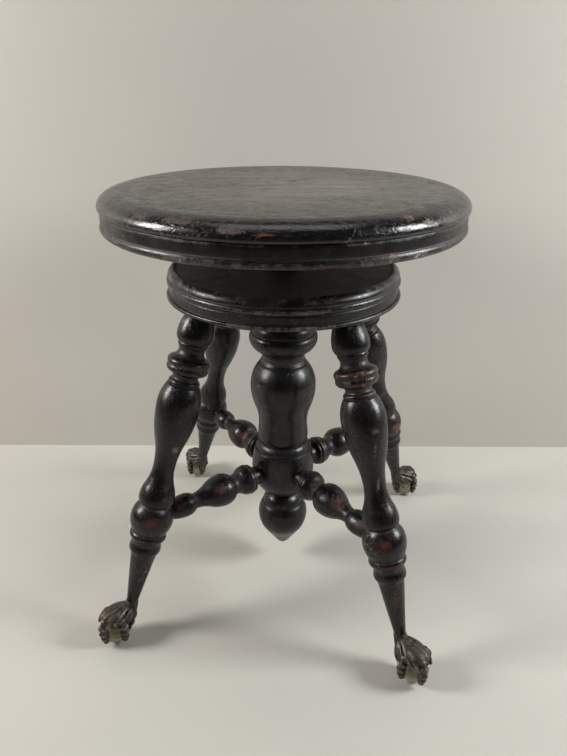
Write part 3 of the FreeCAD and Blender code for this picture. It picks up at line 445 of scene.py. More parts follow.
# %% Scuffs of the seat
SEAT_SCUFFS = [
    ((-15.0, -176.2, 456.6), (11.0, 5.0, 3.2), PINK, 0.7),
    ((13.0, -177.0, 454.3), (9.5, 4.0, 0.9), rgb(150, 84, 42), 0.3),
    ((116.2, -125.2, 461.9), (7.0, 5.0, 3.0), PALE, 0.9),
    ((132.3, -117.7, 455.7), (6.0, 6.0, 3.0), PALE, 0.9),
    ((-60.0, -164.0, 460.0), (22.0, 8.0, 2.6), PINK, 1.1),
    ((-96.0, -148.0, 459.0), (12.0, 8.0, 2.6), PINK, 1.1)]
BAND_SCUFFS = [
    ((104.6, -140.8, 435.3), (3.0, 3.0, 1.8), rgb(150, 88, 60), 0.4),
    ((60.0, -166.0, 430.5), (26.0, 8.0, 1.8), rgb(84, 44, 34), 0.6)]
print(len(SEAT_SCUFFS), "scuffs on the seat,", len(BAND_SCUFFS), "on its moulding")

# %% The six wood finishes
leg_wood = ebonised(
    "ebonised_leg_finish", wear=0.58, dust=0.35, gloss=0.275, specular=0.38, scratches=0.8,
    wood=rgb(78, 42, 33), edge=rgb(136, 98, 80), scuffs=LEG_SCUFFS)
post_wood = ebonised(
    "ebonised_post_finish", wear=0.28, dust=0.4, gloss=0.29, specular=0.4, scratches=0.3,
    wood=rgb(66, 46, 40), edge=rgb(128, 104, 90))
rail_wood = ebonised(
    "ebonised_rail_finish", wear=0.72, dust=0.4, gloss=0.28, specular=0.38, scratches=0.5,
    wood=rgb(76, 46, 37), edge=rgb(140, 108, 90), scuffs=RAIL_SCUFFS)
# The seat's middle, rgb(152, 148, 135), is a painted sheen: pale in the middle and darker towards
# the edge.
seat_wood = ebonised(
    "ebonised_seat_finish", wear=0.18, dust=0.2, gloss=0.2, specular=0.45, scratches=0.7,
    wood=rgb(70, 46, 42), edge=rgb(150, 112, 96), scuffs=SEAT_SCUFFS, crackle=0.9, bloom=0.35,
    coat=0.2, middle=(0.9, 0.075, 0.155, rgb(152, 148, 135)),
    grain_turn=(math.radians(90.0), math.radians(90.0) + VIEW_AZIMUTH, 0.0))
band_wood = ebonised(
    "ebonised_band_finish", wear=0.64, dust=0.9, gloss=0.3, specular=0.42, scratches=0.35,
    wood=rgb(88, 82, 77), edge=rgb(176, 168, 156), scuffs=BAND_SCUFFS, bloom=0.4)
disc_wood = ebonised(
    "ebonised_disc_finish", wear=0.6, dust=0.9, gloss=0.28, specular=0.4, scratches=0.35,
    wood=rgb(92, 88, 84), edge=rgb(156, 150, 140), bloom=0.4,
    middle=(1.0, 0.109, 0.113, rgb(56, 50, 44)))

# %% [markdown]
# ## Metal and glass
#
# The castings are iron gone brown with age: dark and dull in the hollows, rubbed bright where
# the toes stand proud. The spider and nut are the same iron under black paint with rust
# coming through, and the screw is steel with old grease in its thread. The balls are pressed
# glass, a little cloudy and amber.

# %% Metal and glass
RUST, SOOT = rgb(88, 54, 34), rgb(24, 19, 16)


def old_metal(name, dark, plain, bright, rust, rough, metallic, size=1.0, placed=True):
    """Old metal: mottled, rusted in patches, dark in hollows and bright where it is rubbed.
    A CAD node carries no place of its own, so there the pattern follows Object coordinates."""
    material, tree = blank(name)
    place = carried(tree, "place", "Vector") if placed else add(tree, "TexCoord").outputs["Object"]
    relief = carried(tree, "relief", "Fac")
    mottle = noise(tree, place, 160.0 * size, 6.0, 0.7)
    pitted = noise(tree, place, 620.0 * size, 4.0, 0.65)
    patch = noise(tree, place, 55.0 * size, 5.0, 0.7)
    rusty = spread(tree, patch, 0.46, 0.62, 0.0, rust)
    shine = plus(tree, relief, calc(tree, "SUBTRACT", mottle, 0.5), 1.6)
    shine = spread(tree, shine, 0.3, 1.2)
    sunk = spread(tree, relief, -0.7, -0.05, 0.8, 0.0)
    colour = mix(tree, spread(tree, mottle, 0.35, 0.65), dark, plain)
    for mask, tone in ((rusty, RUST), (times(tree, shine, 0.8), bright), (sunk, SOOT)):
        colour = mix(tree, mask, colour, tone)
    roughness = spread(tree, pitted, 0.3, 0.7, rough - 0.1, rough + 0.15)
    roughness = plus(tree, roughness, rusty, 0.3)
    roughness = plus(tree, roughness, shine, -0.16, clamp=True)
    covered = calc(tree, "ADD", rusty, sunk, clamp=True)
    metal = plus(tree, metallic, covered, -0.8 * metallic, clamp=True)
    bump = add(tree, "Bump", {"Height": plus(tree, pitted, mottle, 1.2), "Strength": 0.5,
                              "Distance": 0.0004})
    surface = add(tree, "BsdfPrincipled", {"Base Color": colour, "Roughness": roughness,
                                           "Metallic": metal, "Normal": bump})
    add(tree, "OutputMaterial", {"Surface": surface})
    print("finish", name, "has", len(tree.nodes), "nodes")
    return material


def old_glass(name, clear, cloud):
    """Pressed glass with a cloudy, scratched skin: mostly its tint and roughness change."""
    material, tree = blank(name)
    place = add(tree, "TexCoord").outputs["Object"]
    clouds = spread(tree, noise(tree, place, 90.0, 5.0, 0.65, 0.8), 0.42, 0.68)
    worn_spots = spread(tree, noise(tree, place, 420.0, 4.0, 0.7), 0.45, 0.7)
    roughness = plus(tree, spread(tree, clouds, 0.0, 1.0, 0.04, 0.22), worn_spots, 0.12)
    bump = add(tree, "Bump", {"Height": worn_spots, "Strength": 0.25, "Distance": 0.0002})
    surface = add(tree, "BsdfPrincipled", {"Base Color": mix(tree, clouds, clear, cloud),
                                           "Roughness": roughness, "Normal": bump})
    surface.inputs["Transmission Weight"].default_value = 0.85
    surface.inputs["IOR"].default_value = 1.5
    add(tree, "OutputMaterial", {"Surface": surface})
    print("finish", name, "has", len(tree.nodes), "nodes")
    return material


claw_metal = old_metal("cast_claw_iron", rgb(42, 38, 34), rgb(76, 70, 63), rgb(142, 134, 121),
                       rust=0.25, rough=0.44, metallic=0.55, size=1.6)
black_iron = old_metal("painted_black_iron", rgb(20, 19, 19), rgb(44, 41, 39), rgb(90, 86, 82),
                       rust=0.75, rough=0.55, metallic=0.45, placed=False)
screw_steel = old_metal("greased_steel", rgb(58, 54, 49), rgb(120, 114, 106), rgb(196, 190, 180),
                        rust=0.45, rough=0.34, metallic=0.95)
head_steel = old_metal("screw_head_steel", rgb(42, 38, 35), rgb(86, 80, 74), rgb(150, 142, 132),
                       rust=0.6, rough=0.42, metallic=0.8)
ball_glass = old_glass("pressed_glass", rgb(172, 163, 138), rgb(136, 126, 104))
for node, material in [("spider", black_iron), ("nut_plate", black_iron)] + [
        ("ball_" + corner, ball_glass) for corner in CORNERS]:
    bpy.data.objects[node].data.materials[0] = material

# %% [markdown]
# ## Turned pieces
#
# Nearly every wooden piece came off a lathe, so its surface is one half outline carried round
# an axis. A Screw modifier could do that, but working the grid out with numpy also gives two
# things that the finish needs: where each point is in the piece's own straight frame, so that
# the grain runs along a leaning leg, and how proud it stands of the smoothed outline, so that
# wear finds the beads and dust finds the grooves.
#
# The outline is walked from the top down. `to` goes straight in or out, `line` down to a new
# radius, `swell` is an arc that ends parallel to the axis, `fall` one that starts parallel to
# it, `ogee` the two together, and `cut` an incised line. `to` and `cut` are given the radius
# that they end at, and the others a drop and then that radius.

# %% Arcs and straight runs
# Millimetres: between points, between points on a long radial face, and how long that is.
FINE = 0.6
COARSE = 2.2
LONG_FACE = 6.0


def line_points(start, end):
    """Points on a straight run. A long radial face is spaced by a cosine, close at its ends."""
    length = math.dist(start, end)
    flat = abs(start[1] - end[1]) < 1e-6 and length > LONG_FACE
    share = np.linspace(0.0, 1.0, max(2, int(length / (COARSE if flat else FINE)) + 2))
    if flat:
        share = 0.5 - 0.5 * np.cos(math.pi * share)
    return np.array(start) + np.outer(share, np.array(end) - np.array(start))


def arc_points(start, end, upright_at_end):
    """Points on the arc from start to end whose tangent is along the axis at one end.
    Its radius is (dx^2 + dz^2) / (2 dx), and its centre is level with the upright end."""
    dx, dz = end[0] - start[0], start[1] - end[1]
    if abs(dx) < 1e-6:
        return line_points(start, end)
    reach = (dx * dx + dz * dz) / (2.0 * dx)
    centre = np.array((end[0] - reach, end[1]) if upright_at_end else (start[0] + reach, start[1]))
    a, b = (math.atan2(p[1] - centre[1], p[0] - centre[0]) for p in (start, end))
    b = a + (b - a + math.pi) % TAU - math.pi
    angles = np.linspace(a, b, max(3, int(abs(b - a) * abs(reach) / FINE) + 2))
    return centre + abs(reach) * np.stack([np.cos(angles), np.sin(angles)], 1)


bead = arc_points((10.0, 0.0), (14.0, -6.0), True)
print("a 6 mm swell has", len(bead), "points, and ends at", bead[-1].round(2).tolist())

# %% Half outlines
# An incised line, the small step beside a bead, and the gap under which two points are one.
GROOVE_DEPTH = 0.9
GROOVE_WIDTH = 0.9
QUIRK = 0.6
SAME_POINT = 0.02


def drop_of(moves):
    """The height that some moves use up."""
    return sum(GROOVE_WIDTH if move[0] == "cut" else move[1] for move in moves if move[0] != "to")


def outline(top, moves, start=0.0):
    """Walk the moves down from a height, and return the outline's (radius, height). It starts
    on the axis, or at the radius of a bore, and then it is closed through the bore's wall."""
    here = (start, top)
    runs = []

    def go(radius, drop, kind):
        nonlocal here
        there = (radius, here[1] - drop)
        if kind == "line":
            runs.append(line_points(here, there))
        else:
            runs.append(arc_points(here, there, kind == "swell"))
        here = there

    for kind, *values in moves:
        if kind == "to":
            go(values[0], 0.0, "line")
        elif kind == "cut":
            bottom = here[0] - GROOVE_DEPTH
            go(bottom, 0.0, "line")
            go(bottom, GROOVE_WIDTH, "line")
            go(values[0], 0.0, "line")
        elif kind == "ogee":
            drop, radius = values[:2]
            share = values[2] if len(values) > 2 else 0.5
            go(here[0] + (radius - here[0]) * share, drop * share, "fall")
            go(radius, drop * (1.0 - share), "swell")
        else:
            go(values[1], values[0], kind)
    points = np.concatenate(runs)
    if start:
        points = np.concatenate([points, line_points(points[-1], points[0])[1:-1]])
    steps = np.linalg.norm(np.diff(points, axis=0), axis=1)
    points = points[np.r_[True, steps > SAME_POINT]]
    for _ in range(2):
        points[1:-1] = (points[:-2] + 2.0 * points[1:-1] + points[2:]) / 4.0
    return points


sample = outline(0.0, [("to", 10.0), ("cut", 10.0), ("ogee", 12.0, 20.0), ("to", 0.0)])
print("an outline with a cut and an ogee has", len(sample), "points")

# %% How proud each point stands
# The outline is walked in even steps, and averaged over a few millimetres.
EVEN_STEP = 0.3
RELIEF_REACH = 3.0


def relief_of(points):
    """How far each point stands proud of the outline averaged over a few millimetres: the gap
    to its Gaussian average, measured along the outward normal."""
    along = np.r_[0.0, np.cumsum(np.linalg.norm(np.diff(points, axis=0), axis=1))]
    even = np.arange(0.0, along[-1], EVEN_STEP)
    path = np.stack([np.interp(even, along, points[:, i]) for i in (0, 1)], 1)
    half = int(3 * RELIEF_REACH / EVEN_STEP)
    weights = np.exp(-0.5 * (np.arange(-half, half + 1) * EVEN_STEP / RELIEF_REACH) ** 2)
    weights /= weights.sum()
    padded = np.pad(path, ((half, half), (0, 0)), mode="edge")
    soft = np.stack([np.convolve(padded[:, i], weights, "valid") for i in (0, 1)], 1)
    run = np.gradient(path, axis=0)
    outward = np.stack([-run[:, 1], run[:, 0]], 1)
    outward /= np.maximum(np.linalg.norm(outward, axis=1, keepdims=True), 1e-9)
    return np.interp(along, even, ((path - soft) * outward).sum(1))


stands = relief_of(sample).round(2)
print("that outline stands from", stands.min(), "to", stands.max(), "mm proud")

# %% Meshes and knocks


def mesh_object(name, points, faces, place, relief):
    """A smooth mesh object from points in metres and faces. Each point carries its place in
    the piece's own frame, and its relief from -1, sunk, to 1, proud."""
    mesh = bpy.data.meshes.new(name)
    mesh.from_pydata(points.tolist(), [], faces)
    for label, kind, field, data in (("place", "FLOAT_VECTOR", "vector", place),
                                     ("relief", "FLOAT", "value", relief)):
        attribute = mesh.attributes.new(label, kind, "POINT")
        attribute.data.foreach_set(field, np.ascontiguousarray(data, np.float32).ravel())
    mesh.polygons.foreach_set("use_smooth", np.ones(len(mesh.polygons), bool))
    mesh.update()
    piece = bpy.data.objects.new(name, mesh)
    bpy.context.scene.collection.objects.link(piece)
    return piece


def dimples(grid, radius, seed, count, deepest, width):
    """Small knocks: a sum of Gaussian hollows at seeded places on the unrolled surface."""
    random = np.random.default_rng(seed)
    depth = np.zeros(grid.shape[:2])
    turns = np.arctan2(grid[..., 1], grid[..., 0])
    for _ in range(count):
        row = random.integers(0, grid.shape[0])
        angle = random.uniform(-math.pi, math.pi)
        size = width * random.uniform(0.5, 1.4)
        gap = (turns - angle + math.pi) % TAU - math.pi
        near = (gap * radius[row]) ** 2 + (grid[..., 2] - grid[row, 0, 2]) ** 2
        depth += deepest * random.uniform(0.2, 1.0) * np.exp(-near / (2.0 * size * size))
    return depth


# %% Surfaces of revolution
# Millimetres that count as fully proud.
PROUDEST = 0.55


def turned(name, points, segments, seed, stand=None, knocks=(60, 0.22, 1.6), out_of_round=0.12):
    """Carry a half outline round its axis: x = r cos a, y = r sin a, z = height.
    The radius is shaken by a slow wave, as wood that has shrunk, and dented by knocks, which
    are given as (count, deepest, width). An outline that starts on the axis is closed by two
    poles, each one vertex with a fan of triangles, and one that starts at a bore is closed on
    itself as a ring. A stand is the matrix that carries the upright turning to its place."""
    ring = points[0, 0] > 0.01
    rows = points if ring else points[1:-1]
    angles = np.linspace(0.0, TAU, segments, endpoint=False)
    wave = out_of_round * np.cos(2.0 * (angles - seed)) * (rows[:, :1] / 30.0).clip(0.0, 1.0)
    radius = rows[:, :1] + wave
    grid = np.stack([radius * np.cos(angles), radius * np.sin(angles),
                     np.broadcast_to(rows[:, 1:], radius.shape)], -1)
    depth = dimples(grid, rows[:, 0], seed, *knocks)
    grid[..., :2] *= (1.0 - depth / np.maximum(rows[:, :1], 2.0))[..., None]
    index = np.arange(len(rows) * segments).reshape(len(rows), segments)
    if ring:
        index = np.concatenate([index, index[:1]])
    beside = np.roll(index, -1, axis=1)
    faces = np.stack([index[:-1], index[1:], beside[1:], beside[:-1]], -1).reshape(-1, 4).tolist()
    local = grid.reshape(-1, 3)
    proud = relief_of(points)
    relief = ((proud if ring else proud[1:-1])[:, None] - depth * 0.5).ravel()
    if not ring:
        top, low = len(local), len(local) + 1
        faces += np.stack([np.full(segments, top), index[0], beside[0]], 1).tolist()
        faces += np.stack([np.full(segments, low), beside[-1], index[-1]], 1).tolist()
        local = np.concatenate([local, [(0.0, 0.0, points[0, 1]), (0.0, 0.0, points[-1, 1])]])
        relief = np.r_[relief, proud[0], proud[-1]]
    local = local * MM
    spin = np.array(stand or Matrix.Identity(4))
    shift = np.random.default_rng(seed + 500).uniform(-3.0, 3.0, 3)
    return mesh_object(name, local @ spin[:3, :3].T + spin[:3, 3], faces, local + shift,
                       (relief / PROUDEST).clip(-1.0, 1.0))


def dress(piece, material, body, slot, *nodes):
    """Give a finished piece its material, its CAD body and the nodes it stands for. The slot is
    not used.
    """
    piece.data.materials.append(material)
    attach(piece, body)
    if nodes:
        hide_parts(*nodes)
    print(piece.name, len(piece.data.vertices), "points")


def heights(node):
    """The lowest and highest point of a CAD node, in millimetres."""
    return [corner.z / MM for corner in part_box(node)]


print("the seat board is from", [round(v, 1) for v in heights("seat_top")], "mm")

# %% [markdown]
# ## The seat
#
# Two boards glued together: a thick top with a fat rounded edge, and under it a moulded board
# with a plain band, an incised line and a bead. Heights come from the CAD boxes, so that the
# surfaces sit exactly on the solids.

# %% Seat board
SEAT_RADIUS = 177.8
SHOULDER_WIDTH = 19.0
SHOULDER_FALL = 13.0
LOWER_ROUND = 3.2


def quarter(start, end, level_first):
    """A quarter ellipse between a level run and an upright one: x and z follow sin t and cos t."""
    (x0, z0), (x1, z1) = start, end
    t = np.linspace(0.0, math.pi / 2.0, max(6, int(abs(x1 - x0) * 1.6 / FINE)))
    if level_first:
        return np.stack([x0 + (x1 - x0) * np.sin(t), z1 + (z0 - z1) * np.cos(t)], 1)
    return np.stack([x1 + (x0 - x1) * np.cos(t), z0 + (z1 - z0) * np.sin(t)], 1)


seat_low, seat_high = heights("seat_top")
edge_high = (SEAT_RADIUS, seat_high - SHOULDER_FALL)
edge_low = (SEAT_RADIUS, seat_low + LOWER_ROUND)
top_end = (SEAT_RADIUS - SHOULDER_WIDTH, seat_high)
under_start = (SEAT_RADIUS - LOWER_ROUND, seat_low)
seat_outline = np.concatenate([
    line_points((0.0, seat_high), top_end), quarter(top_end, edge_high, True)[1:],
    line_points(edge_high, edge_low)[1:], quarter(edge_low, under_start, False)[1:],
    line_points(under_start, (0.0, seat_low))[1:]])
board = turned("seat_board", seat_outline, 320, 11, knocks=(150, 0.28, 2.0), out_of_round=0.0)
dress(board, seat_wood, "seat", "seat_wood", "seat_top")

# %% Seat moulding
under_low, under_high = heights("seat_underboard")
under_band = SEAT_RADIUS - 2.0
under_outline = outline(under_high, [
    ("to", under_band), ("line", 10.2, under_band), ("cut", under_band - QUIRK),
    ("swell", 3.8, SEAT_RADIUS - 0.8), ("fall", 3.8, under_band - QUIRK), ("to", 0.0)])
moulding = turned("seat_moulding", under_outline, 320, 12, knocks=(160, 0.22, 1.3),
                  out_of_round=0.0)
dress(moulding, band_wood, "seat", "ebonised_wood", "seat_underboard")

# %% [markdown]
# ## The base disc, post and drop
#
# The disc has a sunk field inside a narrow rim, then a quarter round, a bead and a band, each
# parted by an incised line. The nut sits in a hole through its middle, and the post is bored
# for the screw, so both outlines begin at their bores and not on the axis. The post is the
# fattest turning of all, and the drop under it hides its end grain.

# %% Disc
DISC_RADIUS = 120.7
NUT_FLANGE = 28.5
NUT_BARREL = 18.5
SLACK = 0.1
disc_low, disc_high = heights("base_disc")
disc_band = DISC_RADIUS - 2.7
disc_outline = outline(disc_high - 1.2, [
    ("to", DISC_RADIUS - 9.6), ("line", -1.2, DISC_RADIUS - 9.6), ("to", DISC_RADIUS - 8.0),
    ("swell", 8.0, DISC_RADIUS - 2.3), ("cut", disc_band), ("swell", 3.2, DISC_RADIUS - 1.0),
    ("fall", 3.2, disc_band), ("cut", disc_band), ("line", 7.6, disc_band),
    ("cut", DISC_RADIUS - 1.4), ("swell", 2.2, DISC_RADIUS), ("fall", 2.2, DISC_RADIUS - 1.4),
    ("to", NUT_FLANGE + SLACK)], start=NUT_FLANGE + SLACK)
disc = turned("disc", disc_outline, 288, 21, knocks=(120, 0.22, 1.4), out_of_round=0.0)
dress(disc, disc_wood, "base", "ebonised_wood", "base_disc")

# %% Post
RAIL_HEIGHT = sum(heights("stretcher_front_left")) / 2.0
BODY_RADIUS = 36.7
BODY_FALL = 36.5
BORE_RADIUS = 13.2
TURNS_DOWN = 3.0
PITCH = 6.35
nut_low, nut_high = heights("nut_plate")
screw_low, screw_high = heights("screw")
bore_low = screw_low - TURNS_DOWN * PITCH - 4.0
collar = [("line", 7.0, 35.0), ("ogee", 17.0, 28.0), ("ogee", 20.0, 34.6), ("cut", 34.6),
          ("swell", 6.2, 37.3), ("ogee", 24.5, 23.4, 0.55), ("ogee", 5.2, 26.0), ("cut", 26.6),
          ("swell", 26.5, 36.7)]
body = [("ogee", 17.6, 28.9), ("fall", 6.6, 25.8), ("cut", 26.4), ("swell", 9.0, 31.6),
        ("cut", 33.0), ("swell", 27.8, BODY_RADIUS)]
waist = disc_low - RAIL_HEIGHT - drop_of(collar) - drop_of(body)
post_outline = outline(bore_low, [
    ("to", BORE_RADIUS), ("line", bore_low - nut_low, BORE_RADIUS), ("to", NUT_BARREL + SLACK),
    ("line", nut_low - disc_low, NUT_BARREL + SLACK), ("to", 35.0), *collar,
    ("ogee", waist, 27.8, 0.55), *body, ("fall", BODY_FALL, 16.0), ("to", 0.0)])
post = turned("centre_post", post_outline, 128, 31, knocks=(90, 0.22, 1.6))
dress(post, post_wood, "base", "ebonised_wood", "post")
print("  its waist falls", round(waist, 2), "mm")

# %% Drop
drop_outline = outline(RAIL_HEIGHT - BODY_FALL, [
    ("to", 15.4), ("swell", 13.7, 23.6), ("cut", 24.2), ("swell", 16.4, 29.7),
    ("fall", 18.0, 25.4), ("line", 25.0, 8.6), ("line", 3.3, 5.85), ("line", 1.7, 1.03),
    ("to", 0.0)])
drop = turned("drop_finial", drop_outline, 128, 41, knocks=(60, 0.2, 1.3))
dress(drop, post_wood, "base", "ebonised_wood", "finial")

# %% [markdown]
# ## Legs and stretchers
#
# Each leg leans out by its splay, so its outline is turned upright and then carried to its
# corner by a matrix. All four have the same outline but their own seed, so no two have the
# same dents, grain or wear. A stretcher is turned upright too, and then laid level from the
# post to the knob of its leg.

# %% Legs
SPLAY = math.radians(18.7)
LEG_CIRCLE = DISC_RADIUS - 22.9
LEG_TENON = 10.0
KNOCKS = (130, 0.22, 1.3)
leg_outline = outline(LEG_TENON, [
    ("to", 10.0), ("line", 15.0, 10.0), ("to", 12.4), ("swell", 21.5, 18.1), ("fall", 7.5, 15.6),
    ("to", 14.3), ("swell", 2.1, 14.9), ("fall", 2.1, 14.3), ("swell", 4.2, 12.8),
    ("fall", 7.1, 17.3), ("swell", 4.7, 21.3), ("fall", 3.2, 20.1), ("swell", 3.2, 20.8),
    ("ogee", 9.8, 12.7), ("ogee", 4.8, 15.7), ("line", 1.8, 15.7), ("cut", 16.4),
    ("swell", 21.6, 22.1), ("ogee", 69.4, 11.2, 0.58), ("ogee", 36.0, 18.6, 0.6),
    ("fall", 5.5, 15.6), ("swell", 16.8, 22.3), ("fall", 16.0, 17.4), ("swell", 4.3, 19.2),
    ("fall", 4.6, 15.5), ("line", 5.4, 15.5), ("swell", 5.8, 16.6), ("fall", 5.3, 13.8),
    ("line", 64.4, 5.7), ("to", 4.7), ("line", 12.0, 4.7), ("to", 0.0)])
raised = (Matrix.Translation((LEG_CIRCLE * MM, 0.0, disc_low * MM))
          @ Matrix.Rotation(-SPLAY, 4, "Y"))
for number, (corner, azimuth) in enumerate(CORNERS.items()):
    stand = Matrix.Rotation(math.radians(azimuth), 4, "Z") @ raised
    leg = turned("turned_leg_" + corner, leg_outline, 96, 50 + number, stand, KNOCKS)
    dress(leg, leg_wood, "base", "ebonised_wood", "leg_" + corner)

# %% Stretchers
LEG_KNOB_RADIUS = 22.3
RAIL_SUNK = 6.0
RAIL_KNOCKS = (60, 0.2, 1.3)
inner_end = [("line", 15.4, 11.0), ("to", 15.0), ("swell", 1.7, 16.3), ("fall", 1.7, 15.7),
             ("to", 16.0), ("swell", 2.5, 17.6), ("fall", 2.5, 17.0), ("ogee", 15.2, 11.4),
             ("fall", 3.08, 12.6), ("swell", 12.32, 18.3)]
outer_end = [("to", 9.6), ("swell", 10.0, 12.8), ("fall", 18.0, 9.4)]
leg_there = LEG_CIRCLE + (disc_low - RAIL_HEIGHT) * math.tan(SPLAY)
length = leg_there - LEG_KNOB_RADIUS + 1.0 - (BODY_RADIUS - RAIL_SUNK)
neck = length - drop_of(inner_end) - drop_of(outer_end)
rail_outline = outline(0.0, [("to", 11.0), *inner_end, ("ogee", neck, 8.5), *outer_end,
                             ("line", 9.0, 9.4), ("to", 0.0)])
laid = (Matrix.Translation(((BODY_RADIUS - RAIL_SUNK) * MM, 0.0, RAIL_HEIGHT * MM))
        @ Matrix.Rotation(math.radians(-90.0), 4, "Y"))
for number, (corner, azimuth) in enumerate(CORNERS.items()):
    stand = Matrix.Rotation(math.radians(azimuth), 4, "Z") @ laid
    rail = turned("turned_stretcher_" + corner, rail_outline, 96, 70 + number, stand, RAIL_KNOCKS)
    dress(rail, rail_wood, "base", "ebonised_wood", "stretcher_" + corner)

# %% [markdown]
# ## Claw feet
#
# The feet are cast iron: a rounded palm, a socket for the end of the leg, four knuckled toes
# that hold the ball, and a fan of tendons between. A sculptor would push clay. Here the same
# lumps are laid out as closed tubes and rounded blocks that run into each other, and a voxel
# Remesh melts them into one skin, which a few rounds of smoothing soften as casting does.
#
# A foot's own frame has its origin in the ball's centre: x outward, y along the floor to the
# side, z up. The castings aren't set quite square on the real stool, so each foot's toes are
# turned a little about the ball. Each foot's pattern is moved too, so that no two look alike.

# %% Tubes and blocks
DOME = np.linspace(0.15, 1.45, 5)
POLE_GAP = 0.08


def eased(points, rounds=3):
    """Cut the corners of an open path a few times (Chaikin), keeping its two ends."""
    points = np.array(points, float)
    for _ in range(rounds):
        near = 0.75 * points[:-1] + 0.25 * points[1:]
        far = 0.25 * points[:-1] + 0.75 * points[1:]
        cut = np.stack([near, far], 1).reshape(-1, points.shape[1])
        points = np.concatenate([points[:1], cut, points[-1:]])
    return points


def tube(path, knuckles=0.0, knuckle_depth=0.0, sides=20):
    """A closed round tube along rows of (x, y, z, radius): centre + r (cos t * side + sin t * up).
    Knuckles swell its radius by a cosine along its length, and its ends are domes."""
    path = eased(path)
    centre = path[:, :3]
    share = np.linspace(0.0, 1.0, len(path))
    radius = path[:, 3] * (1.0 + knuckle_depth * np.cos(TAU * knuckles * share))
    along = np.gradient(centre, axis=0)
    along /= np.linalg.norm(along, axis=1, keepdims=True)
    flat = np.linalg.svd(centre - centre.mean(0))[2][2]
    side = flat - along * (along @ flat)[:, None]
    side /= np.linalg.norm(side, axis=1, keepdims=True)
    over = np.cross(side, along)
    centre = np.concatenate([
        centre[:1] - along[:1] * radius[0] * np.cos(DOME)[:, None], centre,
        centre[-1:] + along[-1:] * radius[-1] * np.cos(DOME)[::-1, None]])
    radius = np.concatenate([radius[0] * np.sin(DOME), radius, radius[-1] * np.sin(DOME)[::-1]])
    side, over = (np.concatenate([v[:1].repeat(len(DOME), 0), v, v[-1:].repeat(len(DOME), 0)])
                  for v in (side, over))
    t = np.linspace(0.0, TAU, sides, endpoint=False)[None, :, None]
    ring = np.cos(t) * side[:, None] + np.sin(t) * over[:, None]
    return centre[:, None] + radius[:, None, None] * ring


def block(centre, half, power=2.0, tilt=0.0, sides=40):
    """A rounded block, tilted about the y axis. It's a superellipsoid of three half lengths:
    an ellipsoid whose every cosine and sine is bent to the power 2 / power."""
    low = np.linspace(-math.pi / 2 + POLE_GAP, math.pi / 2 - POLE_GAP, 24)[:, None]
    turns = np.linspace(0.0, TAU, sides, endpoint=False)[None, :]

    def bent(v):
        return np.sign(v) * np.abs(v) ** (2.0 / power)

    grid = np.stack([half[0] * bent(np.cos(low)) * bent(np.cos(turns)),
                     half[1] * bent(np.cos(low)) * bent(np.sin(turns)),
                     half[2] * bent(np.sin(low)) * np.ones_like(turns)], -1)
    c, s = math.cos(tilt), math.sin(tilt)
    return grid @ np.array([[c, 0.0, -s], [0.0, 1.0, 0.0], [s, 0.0, c]]) + np.array(centre)


def joined(grids):
    """The points and faces of some closed grids, each capped at its first and last row."""
    points, faces, first = [], [], 0
    for grid in grids:
        rows, sides = grid.shape[:2]
        index = first + np.arange(rows * sides).reshape(rows, sides)
        beside = np.roll(index, -1, axis=1)
        quads = np.stack([index[:-1], beside[:-1], beside[1:], index[1:]], -1)
        faces += quads.reshape(-1, 4).tolist() + [index[0, ::-1].tolist(), index[-1].tolist()]
        points.append(grid.reshape(-1, 3))
        first += rows * sides
    return np.concatenate(points), faces


# %% Melting lumps into one skin
VOXEL = 0.5


def taken(items, field, width, kind):
    """One field of a mesh's points, edges or corners, as an array with rows of a width."""
    values = np.empty(len(items) * width, kind)
    items.foreach_get(field, values)
    return values.reshape(-1, width)


def melted(name, grids):
    """Join closed grids, remesh them into one skin and smooth it. Returns its points, normals,
    four-sided faces and edges as arrays."""
    points, faces = joined(grids)
    mesh = bpy.data.meshes.new(name)
    mesh.from_pydata(points.tolist(), [], faces)
    clay = bpy.data.objects.new(name, mesh)
    bpy.context.scene.collection.objects.link(clay)
    remesh = clay.modifiers.new("melt", "REMESH")
    remesh.mode, remesh.voxel_size, remesh.adaptivity = "VOXEL", VOXEL, 0.0
    soften = clay.modifiers.new("soften", "SMOOTH")
    soften.factor, soften.iterations = 0.5, 2
    baked = clay.evaluated_get(bpy.context.evaluated_depsgraph_get())
    skin = bpy.data.meshes.new_from_object(baked)
    arrays = (taken(skin.vertices, "co", 3, np.float32).astype(float),
              taken(skin.vertices, "normal", 3, np.float32).astype(float),
              taken(skin.loops, "vertex_index", 1, np.int32).reshape(-1, 4),
              taken(skin.edges, "vertices", 2, np.int32))
    bpy.data.objects.remove(clay)
    bpy.data.meshes.remove(mesh)
    bpy.data.meshes.remove(skin)
    return arrays


def averaged(values, edges, rounds):
    """Average each point's values with its neighbours', as arrays, a number of times."""
    degree = np.bincount(edges.ravel(), minlength=len(values))[:, None] + 1.0
    for _ in range(rounds):
        total = values.copy()
        np.add.at(total, edges[:, 0], values[edges[:, 1]])
        np.add.at(total, edges[:, 1], values[edges[:, 0]])
        values = total / degree
    return values


